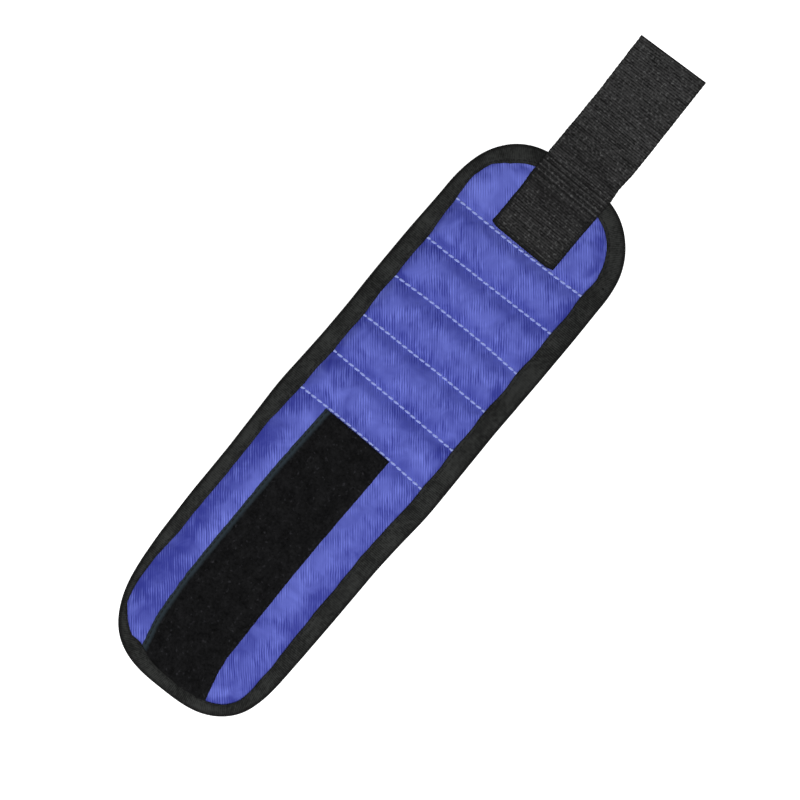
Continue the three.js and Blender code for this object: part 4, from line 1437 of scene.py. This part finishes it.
class WRISTBAND_OT_loop_panel(bpy.types.Operator):
    """Sews on the loop panel: a napped tape with flat selvedges, and its fibre loops"""

    bl_idname = "wristband.loop_panel"
    bl_label = "Loop panel"

    def execute(self, context):
        sewing = context.scene.wristband_sewing
        low, high, top = TAPE_LOW.y, TAPE_HIGH.y, TAPE_HIGH.z
        start = TAPE_HIGH.x - PANEL_GAP
        rows = [(low + inset, drop) for inset, drop in RIGHT_SECTION]
        rows += [(y, 0.0) for y in np.arange(low + NAP_RIGHT, high - NAP_LEFT, NAP_STEP)]
        rows += [(high - inset, drop) for inset, drop in LEFT_SECTION]
        y, drop = np.array(rows).T
        # Columns run evenly from the front edge to the cut, and from there to the binding in each row.
        front = start - LOOP_CUT
        run = spaced([0, front, PANEL_LENGTH], NAP_STEP)[:, None]
        tip = end_x(y, binding_width(end_x(y, 0.0, LOOP_END), y), LOOP_END) - PANEL_UNDER
        rest = np.maximum(run - front, 0) / (PANEL_LENGTH - front)
        x = start - np.minimum(run, front) - rest * (LOOP_CUT - tip)
        dive = (top - TAPE_LOW.z - PANEL_LEAST) * (1 - ease(x - tip, *PANEL_DIVE))
        roll = PANEL_ROLL * (1 - ease((start - x) / PANEL_ROLL_RUN))
        z = np.maximum(TAPE_LOW.z, top + drop - dive - roll)
        napped = z > top - NAP_DEPTH
        edge = np.where(napped, 0, uneven("tape edge", x, y))
        points = points_at(x, panel_y(x, y) + edge, z + np.where(napped, uneven("nap", x, y), 0))
        lay = points_at(x, y, 0)[:, :2]
        quads = grid_quads(*x.shape)[:, ::-1]
        back = points_at(*points.T[:2], TAPE_LOW.z - PANEL_SINK)
        panel = Patch(points, quads, lay, back=back)
        lay_in_stretches("loop_panel", panel, "Brushed nylon loop tape", {0: ["loop_tape"]})

        middles = points[quads].mean(1)
        across = lay[quads].mean(1)[:, 1]
        pile = (across > low + PILE_RIGHT) & (across < high - PILE_LEFT) & (middles[:, 2] > top - PILE_DEPTH)
        area = MM**2 * (high - low - PILE_MARGIN_Y) * (start - LOOP_TIP - PILE_MARGIN_X)
        inputs = {"Density": sewing.nap_loops / area, "Radius": sewing.nap_radius, "Fibre": FIBRE_RADIUS * MM}
        for stretch, name in enumerate(("loop_panel_nap", "loop_panel_nap_seam_1")):
            chosen = pile & (np.searchsorted(CUTS, middles[:, 0]) == stretch)
            ground = make_mesh(name, part_of(Patch(laid(points), quads, lay), chosen))
            inputs["Seed"] = SEEDS["nap"] + stretch
            nap = grow(name, ground, "Nap loops", "Nylon nap fibres", inputs)
            move_with_band(nap, stretch)

        right_inset, right_drop = PANEL_STITCH_RIGHT
        left_inset, left_drop = PANEL_STITCH_LEFT
        for stretch, name in enumerate(("loop_panel_stitches", "loop_panel_stitches_seam_1")):
            lines = []
            for y, z in ((low + right_inset, top - right_drop), (high - left_inset, top - left_drop)):
                breaks = (end_x(y, PANEL_STITCH_INSET, LOOP_END), LOOP_CUT, start - PANEL_STITCH_FRONT)
                x = np.linspace(breaks[stretch], breaks[stretch + 1], LINE_POINTS)
                lines.append(laid(points_at(x, panel_y(x, y), z)))
            stitches = sew(name, lines, "edge", SEEDS["panel"] + stretch)
            move_with_band(stitches, stretch)
        return {"FINISHED"}


def strap_laid(points):
    """The strap's points, with the corners of its sewn end turned under and its tip cut a little askew."""
    moved = np.array(points, float)
    x, y = moved.T[:2].copy()
    corner = ease((np.abs(y) - CORNER_SHARE * STRAP_HALF) / ((1 - CORNER_SHARE) * STRAP_HALF)) ** 2
    moved[:, 0] += (ROOT_SET + ROOT_CORNER * corner) * (1 - ease((x - STRAP_ROOT_LOW.x) / CORNER_RUN))
    moved[:, 0] -= TIP_SKEW * y * ease((x - STRAP_TIP + SKEW_LENGTH) / SKEW_LENGTH)
    return moved


def strap_under(x):
    """Height of the strap's underside: flat on the band, up over the binding, and down to its rest."""
    climbed = ease((x - end_x(0.0, CLIMB_INSET, STRAP_END) + CLIMB_RUN) / CLIMB_RUN)
    height = STRAP_ROOT_LOW.z + (STRAP_RAISED - STRAP_ROOT_LOW.z) * climbed
    return height - (STRAP_RAISED - STRAP_CLEAR) * ease((x - BEND_X) / STRAP_REST)


def strip_patch(x, y, top, bottom, wear=None):
    """A closed strip from the heights of both its faces, on a grid of places along and across the strap."""
    columns, across = np.broadcast_shapes(x.shape, y.shape)
    upper, lower = (points_at(x, y, z).reshape(columns, across, 3) for z in (top, bottom))
    points = np.concatenate([upper, lower[:, ::-1]], 1).reshape(-1, 3)
    rows = 2 * across
    place = np.arange(across - 1)
    cap = np.stack([place, place + 1, rows - 2 - place, rows - 1 - place], -1)
    quads = [grid_quads(columns, rows, closed=True), cap, cap[:, ::-1] + rows * (columns - 1)]
    return Patch(strap_laid(points), np.concatenate(quads), points[:, :2], wear)


class WRISTBAND_OT_strap(bpy.types.Operator):
    """Weaves the strap from its sewn root to its tip, darker along its rims, and tacks it down over the
    binding
    """

    bl_idname = "wristband.strap"
    bl_label = "Strap"

    def execute(self, context):
        pitch = context.scene.wristband_sewing.rib_pitch / MM
        first, last = STRAP_ROOT_LOW.x, STRAP_TIP
        x = np.linspace(first, last, round((last - first) / pitch * RIB_COLUMNS) + 1)[:, None]
        across = np.array(STRAP_ACROSS)
        rolled = np.clip(np.abs(across) - (1 - EDGE_ROLL), 0, 1) / EDGE_ROLL
        bulge = np.sqrt(np.clip(1 - rolled**2, LEAST_BULGE, 1))
        loops = EDGE_LOOPS * np.abs(np.sin(np.pi * x / (2 * pitch))) - EDGE_SET
        left = between(STRAP_LEFT, x) + loops + uneven("strap left", x, 0)
        right = between(STRAP_RIGHT, x) + loops + uneven("strap right", x, 0)
        half = np.where(across < 0, right, left)
        y = across * half
        tacks = sum(hump(x, tack, TACK_SPREAD) for tack in TACK_X)
        tacked = hump(x, sum(TACK_X) / len(TACK_X), TACKED_SPREAD)
        ribs = RIB_HEIGHT * np.cos(2 * np.pi * (x - first) / pitch)
        swell = ribs - TACK_DEPTH * tacks + TACKED_SWELL * tacked + uneven("strap top", x, y)
        middle = strap_under(x) + STRAP_THICKNESS / 2
        top = middle + bulge * (STRAP_THICKNESS / 2 + swell)
        bottom = middle - bulge * STRAP_THICKNESS / 2

        # The strap is darker along its rims, more widely along the right rim, and at its root and its tip.
        tail_rim = np.where(across < 0, TAIL_RIM, LEFT_RIM_SHARE * TAIL_RIM)
        rim = np.where(x < TACK_X[0], ROOT_RIM, tail_rim)
        dark_rims = ease((half - np.abs(y) + RIM_START) / rim) * ease((x - first) / ROOT_RIM)
        dark_rims = dark_rims * ease((last - x + TIP_RIM_START) / TAIL_RIM)
        # Its tone: paler further along the tail, with painted highlight on the swell round the tacking, and
        # painted shade in the tacking's grooves, where it climbs onto the binding and where it bends down.
        tone = ROOT_TONE + TAIL_TONE * ease((x - CLIMB_SHADE_X) / TAIL_TONE_RUN) + uneven("strap tone", x, y)
        tone = tone + TACKED_HIGHLIGHT * tacked - TACK_SHADE * tacks
        for place, spread, dark in STRAP_SHADES:
            tone = tone - dark * hump(x, place, spread)
        wear = np.clip(np.tile(tone * dark_rims, 2), 0, 1).ravel()
        webbing = make_mesh("strap", strip_patch(x, y, top, bottom, wear))
        strap = make_object("strap", webbing, "Woven nylon strap")
        move_with_strap(strap)
        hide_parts("strap_root", "strap_tail")

        inner = STRAP_HALF - STITCH_INSET
        row = np.linspace(-1, 1, ROW_POINTS)
        tack_half, end_half = inner + TACK_OVERHANG, inner - END_ROW_INSET
        along = np.linspace(first + ROOT_ROW_START, TACK_X[0] - ROOT_ROW_END, LINE_POINTS)
        rows = [(tack, tack_half * row, -TACK_SINK) for tack in TACK_X]
        rows += [(along, side, STITCH_RISE) for side in (-inner, inner)]
        rows += [(first + END_ROW_X, end_half * row, STITCH_RISE)]
        lines = [points_at(x, y, strap_under(x) + STRAP_THICKNESS + rise) for x, y, rise in rows]
        tacking = sew("strap_stitches", lines, "edge", SEEDS["strap"], tilt=0.05, width=1.2, height=1.0)
        move_with_strap(tacking)
        return {"FINISHED"}


class WRISTBAND_OT_hooks(bpy.types.Operator):
    """Puts the hook tape under the strap's free tail"""

    bl_idname = "wristband.hooks"
    bl_label = "Hooks"

    def execute(self, context):
        pitch = context.scene.wristband_sewing.hook_pitch / MM
        x = np.linspace(HOOK_LOW.x, HOOK_HIGH.x, BACKING_COLUMNS)[:, None]
        y = np.linspace(HOOK_LOW.y, HOOK_HIGH.y, BACKING_ROWS)
        top = strap_under(x) - BACKING_GAP
        tape = make_mesh("hook_tape", strip_patch(x, y, top, top - BACKING))
        backing = make_object("hook_tape", tape, "Moulded nylon hooks")
        move_with_strap(backing)
        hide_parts("strap_hooks")

        y = np.arange(HOOK_LOW.y + HOOK_START_Y, HOOK_HIGH.y - HOOK_END, pitch)
        x = np.arange(HOOK_LOW.x + HOOK_START_X, HOOK_HIGH.x - HOOK_END, pitch)[:, None]
        x = x + HOOK_STAGGER * (np.arange(len(y)) % 2)
        roots = strap_laid(points_at(x, y, strap_under(x) - BACKING - BACKING_GAP))
        sizes = {"Height": HOOK_HEIGHT * MM, "Thickness": HOOK_THICKNESS * MM, "Seed": SEEDS["hooks"]}
        start = bpy.data.meshes.new("hooks")
        start.from_pydata((roots * MM).tolist(), [], [])
        hooks = grow("hooks", start, "Hook rows", "Moulded nylon hooks", sizes)
        move_with_strap(hooks)
        return {"FINISHED"}


class WRISTBAND_OT_magnets(bpy.types.Operator):
    """Gives the magnets in the pockets their nickel plating"""

    bl_idname = "wristband.magnets"
    bl_label = "Magnets"

    def execute(self, context):
        if not MAGNETS:
            raise RuntimeError("the frame has no magnets")
        for name in MAGNETS:
            materials = frame["nodes"][name].data.materials
            materials.clear()
            materials.append(finish_of("Nickel plating"))
        return {"FINISHED"}


class WRISTBAND_PT_steps(bpy.types.Panel):
    """Lists the wristband's steps and sizes"""

    bl_idname = "WRISTBAND_PT_steps"
    bl_label = "Magnetic wristband"
    bl_space_type = "VIEW_3D"
    bl_region_type = "UI"
    bl_category = "Wristband"

    def draw(self, context):
        for step in STEPS:
            self.layout.operator(step.bl_idname)
        for group in (getattr(context.scene, key) for key in GROUPS):
            for key in group.bl_rna.properties.keys():
                if key not in ("rna_type", "name"):
                    self.layout.prop(group, key)


STEPS = (
    WRISTBAND_OT_stage,
    WRISTBAND_OT_face_cloth,
    WRISTBAND_OT_lining,
    WRISTBAND_OT_binding,
    WRISTBAND_OT_seams,
    WRISTBAND_OT_loop_panel,
    WRISTBAND_OT_strap,
    WRISTBAND_OT_hooks,
    WRISTBAND_OT_magnets,
)
GROUPS = {
    "wristband_sewing": WristbandSewing,
    "wristband_colours": WristbandColours,
    "wristband_stage": WristbandStage,
}


def register():
    """Makes the sizes, the steps and the panel known to Blender."""
    for kind in (*GROUPS.values(), *STEPS, WRISTBAND_PT_steps):
        bpy.utils.register_class(kind)
    for key, group in GROUPS.items():
        setattr(bpy.types.Scene, key, bpy.props.PointerProperty(type=group))


def unregister():
    """Takes them out again, in the other order."""
    for key in GROUPS:
        delattr(bpy.types.Scene, key)
    for kind in (WRISTBAND_PT_steps, *reversed(STEPS), *reversed(GROUPS.values())):
        bpy.utils.unregister_class(kind)


def main():
    """Runs every step in order."""
    register()
    for step in STEPS:
        family, name = step.bl_idname.split(".")
        getattr(getattr(bpy.ops, family), name)()


if __name__ == "__main__":
    main()
